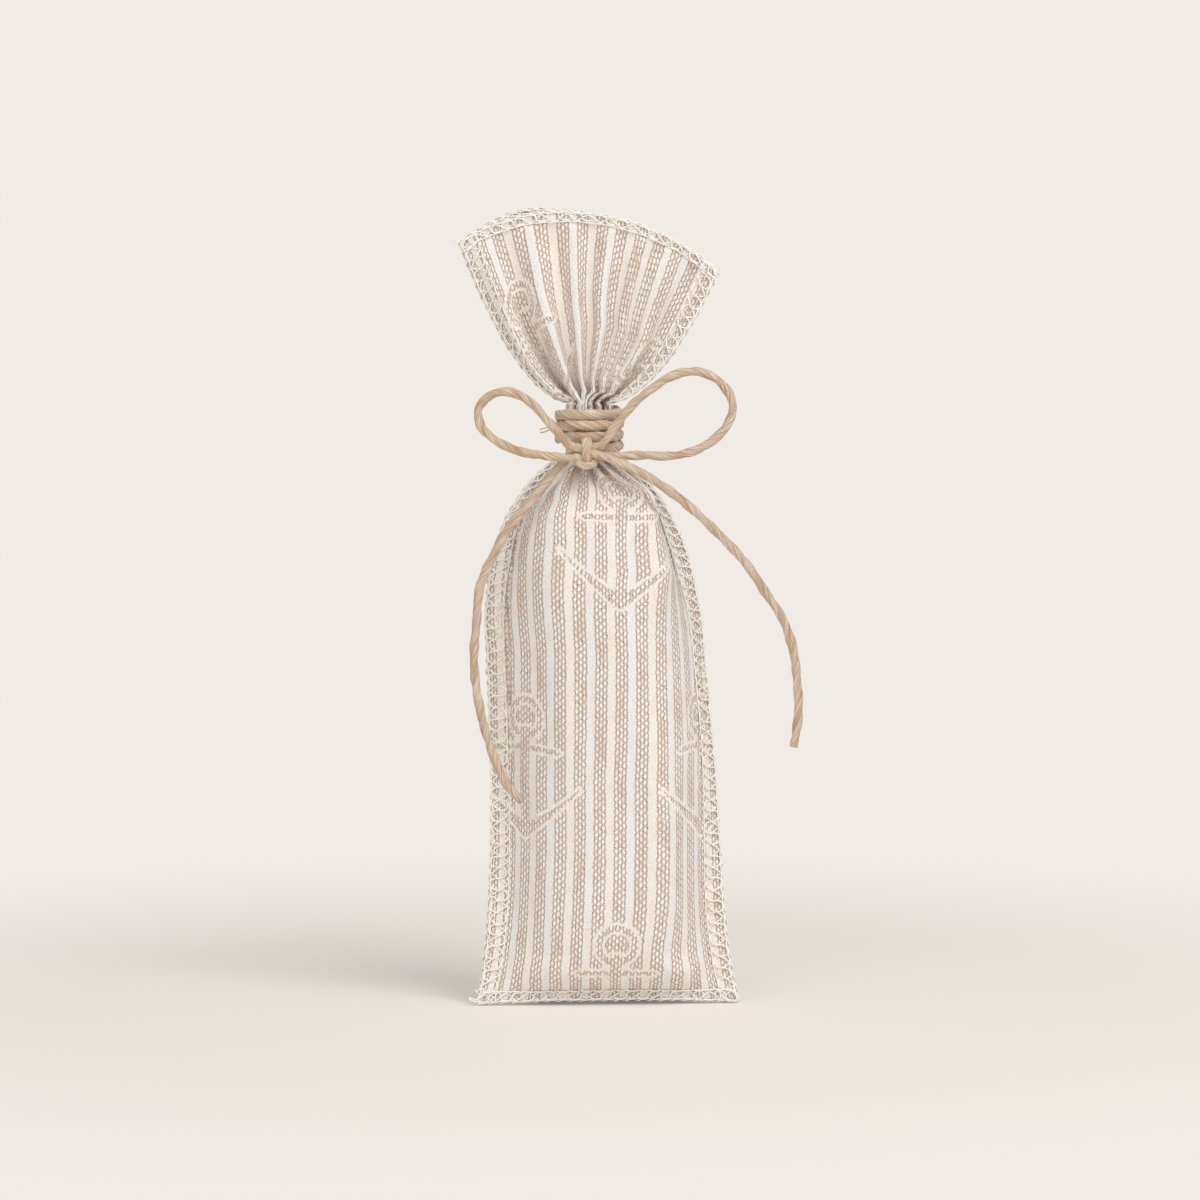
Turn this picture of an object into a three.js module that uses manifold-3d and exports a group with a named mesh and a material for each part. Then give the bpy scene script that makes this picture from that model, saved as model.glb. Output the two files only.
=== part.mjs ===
// Scented pouch: two striped cotton panels, overlocked together along the sides and the bottom,
// filled with loose dried flowers and closed at the neck by turns of paper twine tied in a bow.
// Millimetres, +Z up, front towards -Y. It stands on z = 0, on its bottom seam and the back's heel.
import * as THREE from 'three';
import Module from 'manifold-3d';
import { mergeVertices } from 'three/addons/utils/BufferGeometryUtils.js';

const wasm = await Module();
wasm.setup();

// Body of the pouch: widths are those of the flat seam, edge to edge
const footWidth = 56.4;
const shoulderWidth = 51.6;
const cornerFlare = 3.3;
const cornerFlareReach = 14;
const shoulderHeight = 85;
const bellyDepthFront = 13;
const bellyDepthBack = 13.4;
const bellyRise = 26;
const bodyShift = 1.9;
const footForward = 5.6;
const footForwardReach = 18;
const hemLift = 1.0;
const hemLiftReach = 12;
const gatherDepth = 0.12;

// The belly across the body, measured along the cloth: it climbs steeply from each stitch line,
// rounds over and lies nearly level. The seam allowances are turned back, the right one further,
// from one share of the body's height to another.
const clothWidth = 63.5;
const leftSlopeRun = 21;
const rightSlopeRun = 19;
const slopeFullness = 3;
const tightestSlopeRun = 0.74;
const plateauRise = 0.08;
const leftFlangeTurn = 30;
const rightFlangeTurn = 50;
const flangeTurnReach = [0.06, 0.5, 0.64, 0.97];
const steepestSlope = 86;

// Neck and fan
const neckRadius = 5.6;
const shoulderRise = 44.4;
const neckShift = -2.1;
const fanHalfWidth = 30.9;
const fanHeight = 45.1;
const fanOpening = 12;
const crownSag = 8.7;
const crownShift = 0.2;
const cornerDrop = 1.6;
const mouthDepth = 1.3;

// Cloth, seams and thread
const clothThickness = 0.45;
const seamHalfGap = 0.15;
const fitGap = 0.3;
const flangeWidth = 4.7;
const neckFlangeWidth = 1.3;
const bottomFlangeWidth = 3.3;
const topHemWidth = 2.7;
const threadWall = 0.35;

// Twine, bow and knot
const twineDiameter = 2.1;
const windingTurns = 3.5;
const windingPitch = 2.56;
const windingFoot = 0.5;
const windingHead = 0.34;
const knotRadius = 2.35;
const knotShift = -3.6;
const knotDrop = 5.33;
const strandForward = 1.35;
const strandBack = 1.35;

// Roundness of the curves, as exponents: the first sets how long a curve stays full, the second
// how sharply it turns in at its end
const sideRound = [2.6, 1.39];
const bellyRound = [3.4, 1.8];
const footRound = [2.4, 1.8];
const neckSection = [2.4, 1 / 0.72];
const fanSection = [10, 2];
const fanOpeningCurve = 0.57;
const cornerCurve = 6;

// Folds of the fan: where each valley lies across the cloth, how wide and how deep it is
const fanFolds = [
  { at: -0.5, wide: 0.13, deep: 2.7 },
  { at: -0.14, wide: 0.11, deep: 2.0 },
  { at: 0.24, wide: 0.13, deep: 1.8 },
  { at: 0.56, wide: 0.1, deep: 1.5 },
];

// Windings and strips: points to a turn of the twine, and how far a strip's legs end before the
// stitch line
const pointsPerTurn = 24;
const legClearance = 0.66;

// Sizes that follow
const windingHeight = windingTurns * windingPitch + twineDiameter;
const neckFoot = shoulderHeight + shoulderRise;
const windingMiddle = neckFoot + windingFoot + windingHeight / 2;
const neckTop = windingMiddle + windingHeight / 2 + windingHead;
const crownHeight = neckTop + fanHeight;
const knotHeight = windingMiddle - knotDrop;
const clothEdge = threadWall + fitGap;
const seamHalfThickness = seamHalfGap + clothThickness;
const bindingHalfThickness = seamHalfThickness + fitGap + threadWall;
const windingRadius = neckRadius + fitGap + twineDiameter / 2;
const wrapHalfWidth = 0.45 * twineDiameter;
const wrapRadius = knotRadius - 0.15 * twineDiameter;
const knotDepth = windingRadius + twineDiameter / 2 + fitGap + wrapRadius + wrapHalfWidth;

const cotton = new THREE.MeshStandardMaterial({ color: 0xe9dfd2, roughness: 0.95 });
const thread = new THREE.MeshStandardMaterial({ color: 0xf0e9dd, roughness: 0.9 });
const paper = new THREE.MeshStandardMaterial({ color: 0xd8c3a4, roughness: 0.85 });
const flowers = new THREE.MeshStandardMaterial({ color: 0x8a7a78, roughness: 1 });

const mix = THREE.MathUtils.lerp;
const clamp = THREE.MathUtils.clamp;
const ease = THREE.MathUtils.smoothstep;

// Falls from 1 to 0 as t goes from 0 to 1, full at first and round at its end
function rounded(t, [full, turn]) {
  return (1 - clamp(t, 0, 1) ** full) ** (1 / turn);
}

// Half the seam-to-seam width and the sideways place of the cloth at a height of the side seam
function halfWidth(height) {
  if (height >= neckTop) {
    const rise = (height - neckTop) / fanRise();
    return neckRadius + (fanHalfWidth - neckRadius) * rise ** fanOpeningCurve;
  }
  if (height >= neckFoot) return neckRadius;
  const straight = mix(footWidth, shoulderWidth, height / shoulderHeight) / 2;
  const flare = cornerFlare * Math.exp(-height / cornerFlareReach);
  const climb = (height - shoulderHeight) / shoulderRise;
  return neckRadius + (straight + flare - neckRadius) * rounded(climb, sideRound);
}

function fanRise() {
  return crownAt(-1) - neckTop;
}

// How much wider than square a width lies where the seam's edge slants. The right edge of the
// fan is the shorter one, so it slants more.
function slant(height) {
  const step = 0.25;
  const shorter = height > neckTop ? fanRise() / (crownAt(1) - neckTop) : 1;
  const slope = (shorter * (halfWidth(height + step) - halfWidth(height - step))) / (2 * step);
  return clamp(Math.hypot(1, slope), 1, 2.6);
}

function middle(height) {
  return mix(bodyShift, neckShift, ease(height, 0.25 * neckFoot, 0.93 * neckFoot));
}

// Height of the top hem across the cloth, from -1 at the left seam to 1 at the right one
function crownAt(across) {
  return crownHeight - crownSag * (across + crownShift) ** 2 - cornerDrop * across ** cornerCurve;
}

// The seam plane comes forward at the foot, so that the pouch stands on its seam and its heel
function seamForward(height) {
  return -footForward * Math.exp(-Math.max(0, height - bottomFlangeWidth) / footForwardReach);
}

function gathering(height) {
  return ease(height, 0.86 * neckFoot, neckFoot);
}

function flangeAt(height) {
  return mix(flangeWidth, neckFlangeWidth, gathering(height) - ease(height, neckTop, neckTop + 16));
}

// How far a panel stands off the seam plane at its middle
function bulge(height, depth) {
  if (height >= neckFoot) {
    const opened = ease(height, neckTop, neckTop + fanOpening);
    return mix(neckRadius - seamHalfThickness, mouthDepth, opened);
  }
  const rest = neckRadius - seamHalfThickness;
  const climb = (height - shoulderHeight) / shoulderRise;
  return rest + (depth - rest) * rounded(climb, bellyRound);
}

// The heel of the back panel runs from the bottom seam down to the floor, back and up again
function heel(height) {
  const back = bellyDepthBack + footForward + seamForward(bottomFlangeWidth + bellyRise);
  const path = new THREE.SplineCurve([
    new THREE.Vector2(0, bottomFlangeWidth),
    new THREE.Vector2(0.07 * back, 1.25 * bottomFlangeWidth),
    new THREE.Vector2(0.15 * back, 0.95 * bottomFlangeWidth),
    new THREE.Vector2(0.21 * back, 0.2 * bottomFlangeWidth),
    new THREE.Vector2(0.32 * back, -0.2 * bellyRise),
    new THREE.Vector2(0.6 * back, -0.22 * bellyRise),
    new THREE.Vector2(0.83 * back, -0.05 * bellyRise),
    new THREE.Vector2(0.95 * back, 0.17 * bellyRise),
    new THREE.Vector2(0.99 * back, 0.5 * bellyRise),
    new THREE.Vector2(back, bottomFlangeWidth + bellyRise),
  ]);
  return path.getPoint(clamp((height - bottomFlangeWidth) / bellyRise, 0, 1));
}

function fanRipple(across, rise) {
  if (rise <= 0) return 0;
  const envelope = Math.min(1, rise / 0.18) * (1 - 0.75 * rise);
  return envelope * fanFolds.reduce((sum, fold) => {
    return sum + fold.deep * Math.exp(-(((across - fold.at) / fold.wide) ** 2));
  }, 0);
}

// How far the seam allowance on a side is turned back at a height, as an angle
function flangeTurn(edge, height) {
  const most = THREE.MathUtils.degToRad(edge < 0 ? leftFlangeTurn : rightFlangeTurn);
  const [from, full, until, end] = flangeTurnReach.map((share) => share * neckFoot);
  return most * ease(height, from, full) * (1 - ease(height, until, end));
}

// Mean sine and cosine of the slope over a run of cloth that leaves the stitch line at an angle
// and rounds over to level
function slopeMeans(angle) {
  const parts = 40;
  const slopes = stations(parts).map((t) => angle * (1 - (t - 0.5 / parts) ** slopeFullness));
  const mean = (values) => values.reduce((sum, value) => sum + value, 0) / parts;
  return { sine: mean(slopes.map(Math.sin)), cosine: mean(slopes.map(Math.cos)) };
}

// The value between low and high up to which a test holds
function lastWhere(low, high, holds) {
  let [from, to] = [low, high];
  for (let i = 0; i < 18; i += 1) {
    const half = (from + to) / 2;
    if (holds(half)) from = half;
    else to = half;
  }
  return from;
}

// The slopes of a row: where the cloth has more width than it needs, its runs are drawn in and
// stand steeper, down to the tightest
function slopesOf(depth, width, allowances) {
  const steepest = THREE.MathUtils.degToRad(steepestSlope);
  const between = clothWidth - 2 * flangeWidth;
  const climbs = [depth * (1 - plateauRise), depth];
  const rowAt = (share) => {
    const runs = [leftSlopeRun * share, rightSlopeRun * share];
    const level = between - runs[0] - runs[1];
    const lean = Math.asin(Math.min(0.5, (depth * plateauRise) / level));
    const angles = runs.map((run, i) => {
      return lastWhere(0, steepest, (angle) => slopeMeans(angle).sine * run < climbs[i]);
    });
    const slopeReach = runs[0] * slopeMeans(angles[0]).cosine + runs[1] * slopeMeans(angles[1]).cosine;
    return { runs, angles, lean, reach: allowances + level * Math.cos(lean) + slopeReach };
  };
  const share = 1 - lastWhere(0, 1 - tightestSlopeRun, (drawn) => rowAt(1 - drawn).reach > width);
  return rowAt(share);
}

// A row across the body as even steps along the cloth: its place across from -1 to 1, how full
// the belly is, and how far the gathers draw the whole row in
const crossingRows = new Map();
function crossingRow(height, depth) {
  const key = `${height} ${depth}`;
  if (crossingRows.has(key)) return crossingRows.get(key);
  const steps = 127;
  const step = clothWidth / steps;
  const stitch = clothWidth / 2 - flangeWidth;
  const turns = [-1, 1].map((edge) => flangeTurn(edge, height));
  const width = 2 * (halfWidth(height) - clothEdge * slant(height));
  const allowances = flangeWidth * (Math.cos(turns[0]) + Math.cos(turns[1]));
  const { runs, angles, lean } = slopesOf(depth, width, allowances);
  const places = [0];
  const rises = [0];
  for (let i = 0; i < steps; i += 1) {
    const at = (i + 0.5) * step - clothWidth / 2;
    const fromLeft = (at + stitch) / runs[0];
    const fromRight = (stitch - at) / runs[1];
    let slope = lean;
    if (fromLeft < 1) slope = angles[0] * (1 - Math.max(0, fromLeft) ** slopeFullness);
    if (fromRight < 1) slope = -angles[1] * (1 - Math.max(0, fromRight) ** slopeFullness);
    const allowance = Math.abs(at) > stitch;
    const turn = allowance ? turns[at < 0 ? 0 : 1] : 0;
    places.push(places[i] + step * (allowance ? Math.cos(turn) : Math.cos(slope)));
    rises.push(rises[i] + step * (allowance ? 0 : Math.sin(slope)));
  }
  const crossed = (i) => clamp((i * step - flangeWidth) / (2 * stitch), 0, 1);
  const level = rises.map((rise, i) => rise - rises[steps] * crossed(i));
  const highest = Math.max(...level);
  const row = {
    place: places.map((place) => (2 * place) / places[steps] - 1),
    swell: level.map((rise) => clamp(rise / highest, 0, 1)),
    drawnIn: width / places[steps],
  };
  crossingRows.set(key, row);
  return row;
}

function readRow(values, across) {
  const at = clamp((across + 1) / 2, 0, 1) * (values.length - 1);
  const before = Math.min(Math.floor(at), values.length - 2);
  return mix(values[before], values[before + 1], at - before);
}

// Where the stitch line lies, as a share of half the cloth, in the body and in the neck and fan
function stitchShare(height) {
  const half = halfWidth(height) - clothEdge * slant(height);
  const gathered = (half - (flangeAt(height) - clothEdge) * slant(height)) / half;
  return mix(1 - (2 * flangeWidth) / clothWidth, gathered, neckShare(height));
}

// 0 in the body, 1 in the neck and fan, where the gathered section is a plain rounded one
function neckShare(height) {
  return ease(height, 0.93 * neckFoot, neckFoot);
}

// The middle surface of the seam and the belly's swell at one place. across runs over the whole
// cloth from -1 to 1, height is that of the side seam in this row.
function crossing(across, height, depth) {
  const rise = clamp((height - neckTop) / fanRise(), 0, 1);
  const section = neckSection.map((power, i) => mix(power, fanSection[i], rise));
  const gathered = { place: across, swell: rounded(Math.abs(across) / stitchShare(height), section) };
  if (height >= neckFoot) return { ...gathered, back: 0, turn: 0 };
  const row = crossingRow(height, depth);
  const edge = Math.sign(across);
  const beyond = Math.max(0, Math.abs(across) - stitchShare(height)) * (clothWidth / 2) * row.drawnIn;
  const turn = flangeTurn(edge, height);
  return {
    place: mix(readRow(row.place, across), gathered.place, neckShare(height)),
    swell: mix(readRow(row.swell, across), gathered.swell, neckShare(height)),
    back: beyond * Math.sin(turn),
    turn: Math.abs(across) > stitchShare(height) + 1e-6 ? edge * turn : 0,
  };
}

// One point of the outer face of a panel. side is -1 for the front, 1 for the back.
function clothPoint(side, across, height, stand = 0) {
  const rise = clamp((height - neckTop) / fanRise(), 0, 1);
  const half = halfWidth(height) - clothEdge * slant(height);
  const top = mix(height, neckTop + rise * (crownAt(across) - clothEdge - neckTop), rise > 0 ? 1 : 0);
  const lift = hemLift * (1 - across ** 2) * Math.exp(-height / hemLiftReach);
  const gathered = gatherDepth * ease(height, 0.78 * neckFoot, neckFoot) * (1 - rise);
  const gather = 1 - gathered * Math.sin(4.5 * Math.PI * across) ** 2;
  const low = (height - bottomFlangeWidth) / bellyRise;
  const onHeel = side > 0 && low < 1;
  const bend = heel(height);
  const reach = seamForward(bottomFlangeWidth) + bend.x;
  const foot = side < 0 ? rounded(1 - low, footRound) : 1;
  const full = foot * bulge(height, side < 0 ? bellyDepthFront : bellyDepthBack);
  const depth = onHeel ? reach - seamForward(height) : full;
  const { place, swell, back, turn } = crossing(across, height, Math.max(depth, clothThickness));
  const skin = seamHalfThickness + stand;
  const x = middle(height) + place * half - side * skin * Math.sin(turn);
  const seam = seamForward(height) + fanRipple(across, rise) + back;
  if (onHeel) {
    const bent = low > 0 ? swell : 0;
    const y = mix(seam, Math.max(reach, seam), bent) + skin * Math.cos(turn);
    return new THREE.Vector3(x, y, Math.max(mix(top + lift, bend.y + lift, bent), 0));
  }
  const y = seam + side * (skin * Math.cos(turn) + swell * gather * depth);
  return new THREE.Vector3(x, y, top + lift);
}

// Row heights of the side seam and places across the cloth, closer together where the form bends
function rowHeights() {
  const bodyTop = 1.13 * shoulderHeight;
  const heelTop = bottomFlangeWidth + bellyRise;
  const footRows = [clothEdge, 0.55 * bottomFlangeWidth, bottomFlangeWidth];
  const heelRows = stations(10).map((t) => mix(bottomFlangeWidth, heelTop, t));
  const bellyRows = stations(10).map((t) => mix(heelTop, bodyTop, t));
  const shoulderRows = stations(11).map((t) => mix(bodyTop, neckFoot, 1 - (1 - t) ** 1.6));
  const neckRows = [mix(neckFoot, neckTop, 0.5), neckTop];
  const fanRows = stations(12).map((t) => neckTop + fanRise() * t ** 1.4);
  return [...footRows, ...heelRows, ...bellyRows, ...shoulderRows, ...neckRows, ...fanRows];
}

// Evenly spaced shares of a run, without its start
function stations(count) {
  return Array.from({ length: count }, (_, i) => (i + 1) / count);
}

function columnPlaces(height) {
  const stitch = stitchShare(height);
  const inner = Array.from({ length: 21 }, (_, i) => stitch * Math.sin((Math.PI / 2) * (i / 10 - 1)));
  return [-1, ...inner, 1];
}

function clothGrid(side) {
  const row = (height) => columnPlaces(height).map((across) => clothPoint(side, across, height));
  return rowHeights().map(row);
}

// Unit normals of a grid of points, pointing into the pouch
function inwardNormals(grid, side) {
  return grid.map((row, i) => row.map((_, j) => {
    const along = grid[Math.min(i + 1, grid.length - 1)][j].clone().sub(grid[Math.max(i - 1, 0)][j]);
    const over = row[Math.min(j + 1, row.length - 1)].clone().sub(row[Math.max(j - 1, 0)]);
    return along.cross(over).normalize().multiplyScalar(-side);
  }));
}

// The inner face lies one cloth thickness inside, and at the neck the gathered folds fill the rest
function innerGrid(grid, side, clearance) {
  const normals = inwardNormals(grid, side);
  const heights = rowHeights();
  return grid.map((row, i) => row.map((point, j) => {
    const inner = point.clone().addScaledVector(normals[i][j], clothThickness + clearance);
    const bundled = ease(heights[i], 0.965 * neckFoot, neckFoot) - ease(heights[i], neckTop, neckTop + 7);
    inner.y = mix(inner.y, side * seamHalfGap + seamForward(heights[i]), bundled);
    return inner;
  }));
}

// A closed body between two grids of the same size, joined round their rims
function closedBody(outer, inner) {
  const rows = outer.length;
  const columns = outer[0].length;
  const vertices = [...outer.flat(), ...inner.flat()].flatMap((p) => p.toArray());
  const at = (layer, i, j) => layer * rows * columns + i * columns + j;
  const faces = [];
  const quad = (a, b, c, d) => faces.push(a, b, c, a, c, d);
  for (let i = 0; i < rows - 1; i += 1) {
    for (let j = 0; j < columns - 1; j += 1) {
      quad(at(0, i, j), at(0, i, j + 1), at(0, i + 1, j + 1), at(0, i + 1, j));
      quad(at(1, i, j), at(1, i + 1, j), at(1, i + 1, j + 1), at(1, i, j + 1));
    }
    quad(at(0, i, 0), at(0, i + 1, 0), at(1, i + 1, 0), at(1, i, 0));
    const last = columns - 1;
    quad(at(0, i, last), at(1, i, last), at(1, i + 1, last), at(0, i + 1, last));
  }
  for (let j = 0; j < columns - 1; j += 1) {
    quad(at(0, 0, j), at(1, 0, j), at(1, 0, j + 1), at(0, 0, j + 1));
    quad(at(0, rows - 1, j), at(0, rows - 1, j + 1), at(1, rows - 1, j + 1), at(1, rows - 1, j));
  }
  return indexed(vertices, faces);
}

function indexed(vertices, faces) {
  const geometry = new THREE.BufferGeometry();
  geometry.setAttribute('position', new THREE.Float32BufferAttribute(vertices, 3));
  geometry.setIndex(faces);
  geometry.computeVertexNormals();
  return geometry;
}

// Front and back wind their grids the other way round, so each swaps its layers to face outwards
function panel(side) {
  const outer = clothGrid(side);
  const inner = innerGrid(outer, side, 0);
  return side < 0 ? closedBody(outer, inner) : closedBody(inner, outer);
}

// The filling follows the inner faces of both panels, where they lie apart
function filling() {
  const heights = rowHeights();
  const from = heights.findIndex((height) => height > 1.6 * bottomFlangeWidth);
  const to = heights.findIndex((height) => height > 0.955 * neckFoot);
  const crop = (grid) => grid.slice(from, to).map((row) => row.slice(4, row.length - 4));
  const front = crop(innerGrid(clothGrid(-1), -1, fitGap));
  const back = crop(innerGrid(clothGrid(1), 1, fitGap));
  return closedBody(front, back);
}

// A folded strip of thread: a U section run along the middle line of an edge, open towards inward.
// legs gives the length of its front leg and of its back leg at each point. On a turned edge its
// quads are split along the same diagonals as the cloth's.
function binding(path, inward, thick, legs, halfThickness, edge = 1) {
  const wall = threadWall;
  const rings = path.map((point, i) => {
    const [frontLeg, backLeg] = legs[i];
    const section = [
      [0, -halfThickness],
      [frontLeg, -halfThickness],
      [frontLeg, wall - halfThickness],
      [wall, wall - halfThickness],
      [wall, halfThickness - wall],
      [backLeg, halfThickness - wall],
      [backLeg, halfThickness],
      [0, halfThickness],
    ];
    return section.map(([depth, off]) => {
      return point.clone().addScaledVector(inward[i], depth).addScaledVector(thick[i], off);
    });
  });
  const vertices = rings.flat().flatMap((p) => p.toArray());
  const faces = [];
  for (let i = 0; i < rings.length - 1; i += 1) {
    for (let k = 0; k < 8; k += 1) {
      const next = (k + 1) % 8;
      const a = i * 8 + k;
      const b = i * 8 + next;
      const outwards = k === 2 || k === 6;
      if (outwards === edge > 0) faces.push(a, b, b + 8, a, b + 8, a + 8);
      else faces.push(a, b, a + 8, b, b + 8, a + 8);
    }
  }
  const last = (rings.length - 1) * 8;
  [[0, 1, 2, 3], [0, 3, 4, 7], [4, 5, 6, 7]].forEach(([a, b, c, d]) => {
    faces.push(a, c, b, a, d, c);
    faces.push(last + a, last + b, last + c, last + a, last + c, last + d);
  });
  return facingOut(indexed(vertices, faces));
}

// Turns a closed body round if its faces point inwards
function facingOut(geometry) {
  const position = geometry.attributes.position;
  const index = geometry.index.array;
  const corner = [0, 1, 2].map(() => new THREE.Vector3());
  let volume = 0;
  for (let i = 0; i < index.length; i += 3) {
    corner.forEach((point, k) => point.fromBufferAttribute(position, index[i + k]));
    volume += corner[0].dot(corner[1].cross(corner[2]));
  }
  if (volume > 0) return geometry;
  for (let i = 0; i < index.length; i += 3) {
    [index[i], index[i + 1]] = [index[i + 1], index[i]];
  }
  geometry.computeVertexNormals();
  return geometry;
}

// Directions square to a path within the cloth, towards its inside
function squareTo(path, thick, towards) {
  return path.map((_, i) => {
    const along = path[Math.min(i + 1, path.length - 1)].clone().sub(path[Math.max(i - 1, 0)]);
    const square = along.cross(thick[i]).normalize();
    return square.dot(towards) < 0 ? square.negate() : square;
  });
}

// A side's strip lies on the turned-back seam allowance, level with the cloth's rows in the body
// and square to the edge in the fan. Its back leg is shorter on a turned allowance, because the
// back panel's belly rises beside it.
function sideBinding(edge) {
  const lowest = bottomFlangeWidth + fitGap;
  const heights = [lowest, ...rowHeights().filter((height) => height > 1.2 * lowest)];
  const turns = heights.map((height) => flangeTurn(edge, height));
  const path = heights.map((height, i) => {
    const rise = clamp((height - neckTop) / fanRise(), 0, 1);
    const z = rise > 0 ? neckTop + rise * (crownAt(edge) - neckTop) : height;
    const { back } = crossing(edge, height, bulge(height, bellyDepthFront));
    const beyond = clothEdge * slant(height);
    const x = middle(height) + edge * (halfWidth(height) - beyond * (1 - Math.cos(turns[i])));
    const y = seamForward(height) + fanRipple(edge, rise) + back + beyond * Math.sin(turns[i]);
    return new THREE.Vector3(x, y, z);
  });
  const thick = turns.map((turn) => new THREE.Vector3(-edge * Math.sin(turn), Math.cos(turn), 0));
  const inward = squareTo(path, thick, new THREE.Vector3(-edge, 0, 0));
  const legs = heights.map((height, i) => {
    if (height > neckFoot) return [flangeAt(height) - legClearance, flangeAt(height) - legClearance];
    const level = new THREE.Vector3(-edge * Math.cos(turns[i]), -Math.sin(turns[i]), 0);
    inward[i].copy(level).multiplyScalar(slant(height));
    const stitch = crossing(edge * stitchShare(height), height, bulge(height, bellyDepthFront)).place;
    const square = halfWidth(height) / slant(height) - clothEdge;
    const flange = ((1 - Math.abs(stitch)) * square) / Math.cos(turns[i]);
    const leg = flange + clothEdge * gathering(height) - legClearance;
    const twist = 2 * fitGap * Math.sin(turns[i]);
    return [leg - twist, leg - twist - bindingHalfThickness * Math.sin(turns[i])];
  });
  return binding(path, inward, thick, legs, bindingHalfThickness, edge);
}

function bottomBinding() {
  const places = Array.from({ length: 17 }, (_, i) => i / 8 - 1);
  const path = places.map((across) => {
    const x = middle(0) + across * halfWidth(0);
    return new THREE.Vector3(x, seamForward(0), hemLift * (1 - across ** 2));
  });
  const thick = path.map(() => new THREE.Vector3(0, 1, 0));
  const inward = squareTo(path, thick, new THREE.Vector3(0, 0, 1));
  const leg = bottomFlangeWidth - fitGap;
  const legs = path.map(() => [leg, leg]);
  return binding(path, inward, thick, legs, bindingHalfThickness);
}

function topBinding(side) {
  const reach = 0.82;
  const height = neckTop + fanRise();
  const places = Array.from({ length: 25 }, (_, i) => reach * (i / 12 - 1));
  const path = places.map((across) => {
    const point = clothPoint(side, across, height, -clothThickness / 2);
    point.z += clothEdge;
    return point;
  });
  const thick = path.map(() => new THREE.Vector3(0, 1, 0));
  const inward = squareTo(path, thick, new THREE.Vector3(0, 0, -1));
  const legs = path.map(() => [topHemWidth, topHemWidth]);
  return binding(path, inward, thick, legs, clothThickness / 2 + fitGap + threadWall);
}

// A tube round a curve, closed at both ends
function tube(points, radius, sides, steps) {
  const curve = new THREE.CatmullRomCurve3(points, false, 'centripetal');
  const section = new THREE.Shape();
  for (let k = 0; k < sides; k += 1) {
    const turn = (2 * Math.PI * k) / sides;
    const x = radius * Math.cos(turn);
    const y = radius * Math.sin(turn);
    if (k === 0) section.moveTo(x, y);
    else section.lineTo(x, y);
  }
  return new THREE.ExtrudeGeometry(section, { steps, bevelEnabled: false, extrudePath: curve });
}

// Turns of twine round the neck. The lower end lies at the front, behind the knot, and the upper
// one at the back.
function windingPoints() {
  const count = Math.round(windingTurns * pointsPerTurn);
  const points = Array.from({ length: count + 1 }, (_, i) => {
    const angle = -Math.PI / 2 + (2 * Math.PI * i) / pointsPerTurn;
    const x = neckShift + windingRadius * Math.cos(angle);
    const z = windingMiddle + windingPitch * (i / pointsPerTurn - windingTurns / 2);
    return new THREE.Vector3(x, windingRadius * Math.sin(angle), z);
  });
  const first = points[0].clone().sub(points[1]).setLength(twineDiameter);
  const last = points[count].clone().sub(points[count - 1]).setLength(twineDiameter);
  return [points[0].clone().add(first), ...points, points[count].clone().add(last)];
}

// Rings of six points round the line of the winding, joined into one unbroken tube
function windingTube(points) {
  const sides = 6;
  const radius = twineDiameter / 2;
  const vertices = [];
  points.forEach((point, i) => {
    const next = points[Math.min(i + 1, points.length - 1)];
    const along = next.clone().sub(points[Math.max(i - 1, 0)]).normalize();
    const out = new THREE.Vector3(point.x - neckShift, point.y, 0).normalize();
    const up = out.clone().cross(along).normalize();
    const level = along.clone().cross(up).normalize();
    for (let k = 0; k < sides; k += 1) {
      const turn = (2 * Math.PI * k) / sides;
      const place = point.clone().addScaledVector(level, radius * Math.cos(turn));
      vertices.push(...place.addScaledVector(up, radius * Math.sin(turn)).toArray());
    }
  });
  const faces = [];
  for (let i = 0; i < points.length - 1; i += 1) {
    for (let k = 0; k < sides; k += 1) {
      const a = i * sides + k;
      const b = i * sides + ((k + 1) % sides);
      faces.push(a, b, b + sides, a, b + sides, a + sides);
    }
  }
  const last = (points.length - 1) * sides;
  for (let k = 1; k < sides - 1; k += 1) {
    faces.push(0, k + 1, k);
    faces.push(last, last + k, last + k + 1);
  }
  return facingOut(indexed(vertices, faces));
}

// Least distance between the surfaces of turns that aren't next to each other along the twine
function leastGap(points) {
  const apart = pointsPerTurn / 2;
  let least = Infinity;
  points.forEach((point, i) => {
    for (let k = i + apart; k < points.length; k += 1) {
      least = Math.min(least, point.distanceTo(points[k]) - twineDiameter);
    }
  });
  return least;
}

function toSolid(geometry) {
  geometry.deleteAttribute('normal');
  geometry.deleteAttribute('uv');
  const merged = mergeVertices(geometry, 1e-3);
  const position = Float32Array.from(merged.attributes.position.array);
  const index = Uint32Array.from(merged.index.array);
  const mesh = new wasm.Mesh({ numProp: 3, vertProperties: position, triVerts: index });
  return new wasm.Manifold(mesh);
}

// The crossing strands make a ball, and one turn of the twine is drawn tight round it. The ball
// is round about the knot's middle, so that the loops and tails can turn there.
function knot() {
  const strands = toSolid(new THREE.SphereGeometry(knotRadius, 20, 12));
  const ring = new THREE.TorusGeometry(wrapRadius, wrapHalfWidth, 8, 22);
  ring.rotateY(Math.PI / 2);
  ring.scale(1.15, 1, 1);
  const mesh = strands.add(toSolid(ring)).getMesh();
  return indexed(Array.from(mesh.vertProperties), Array.from(mesh.triVerts));
}

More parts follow.
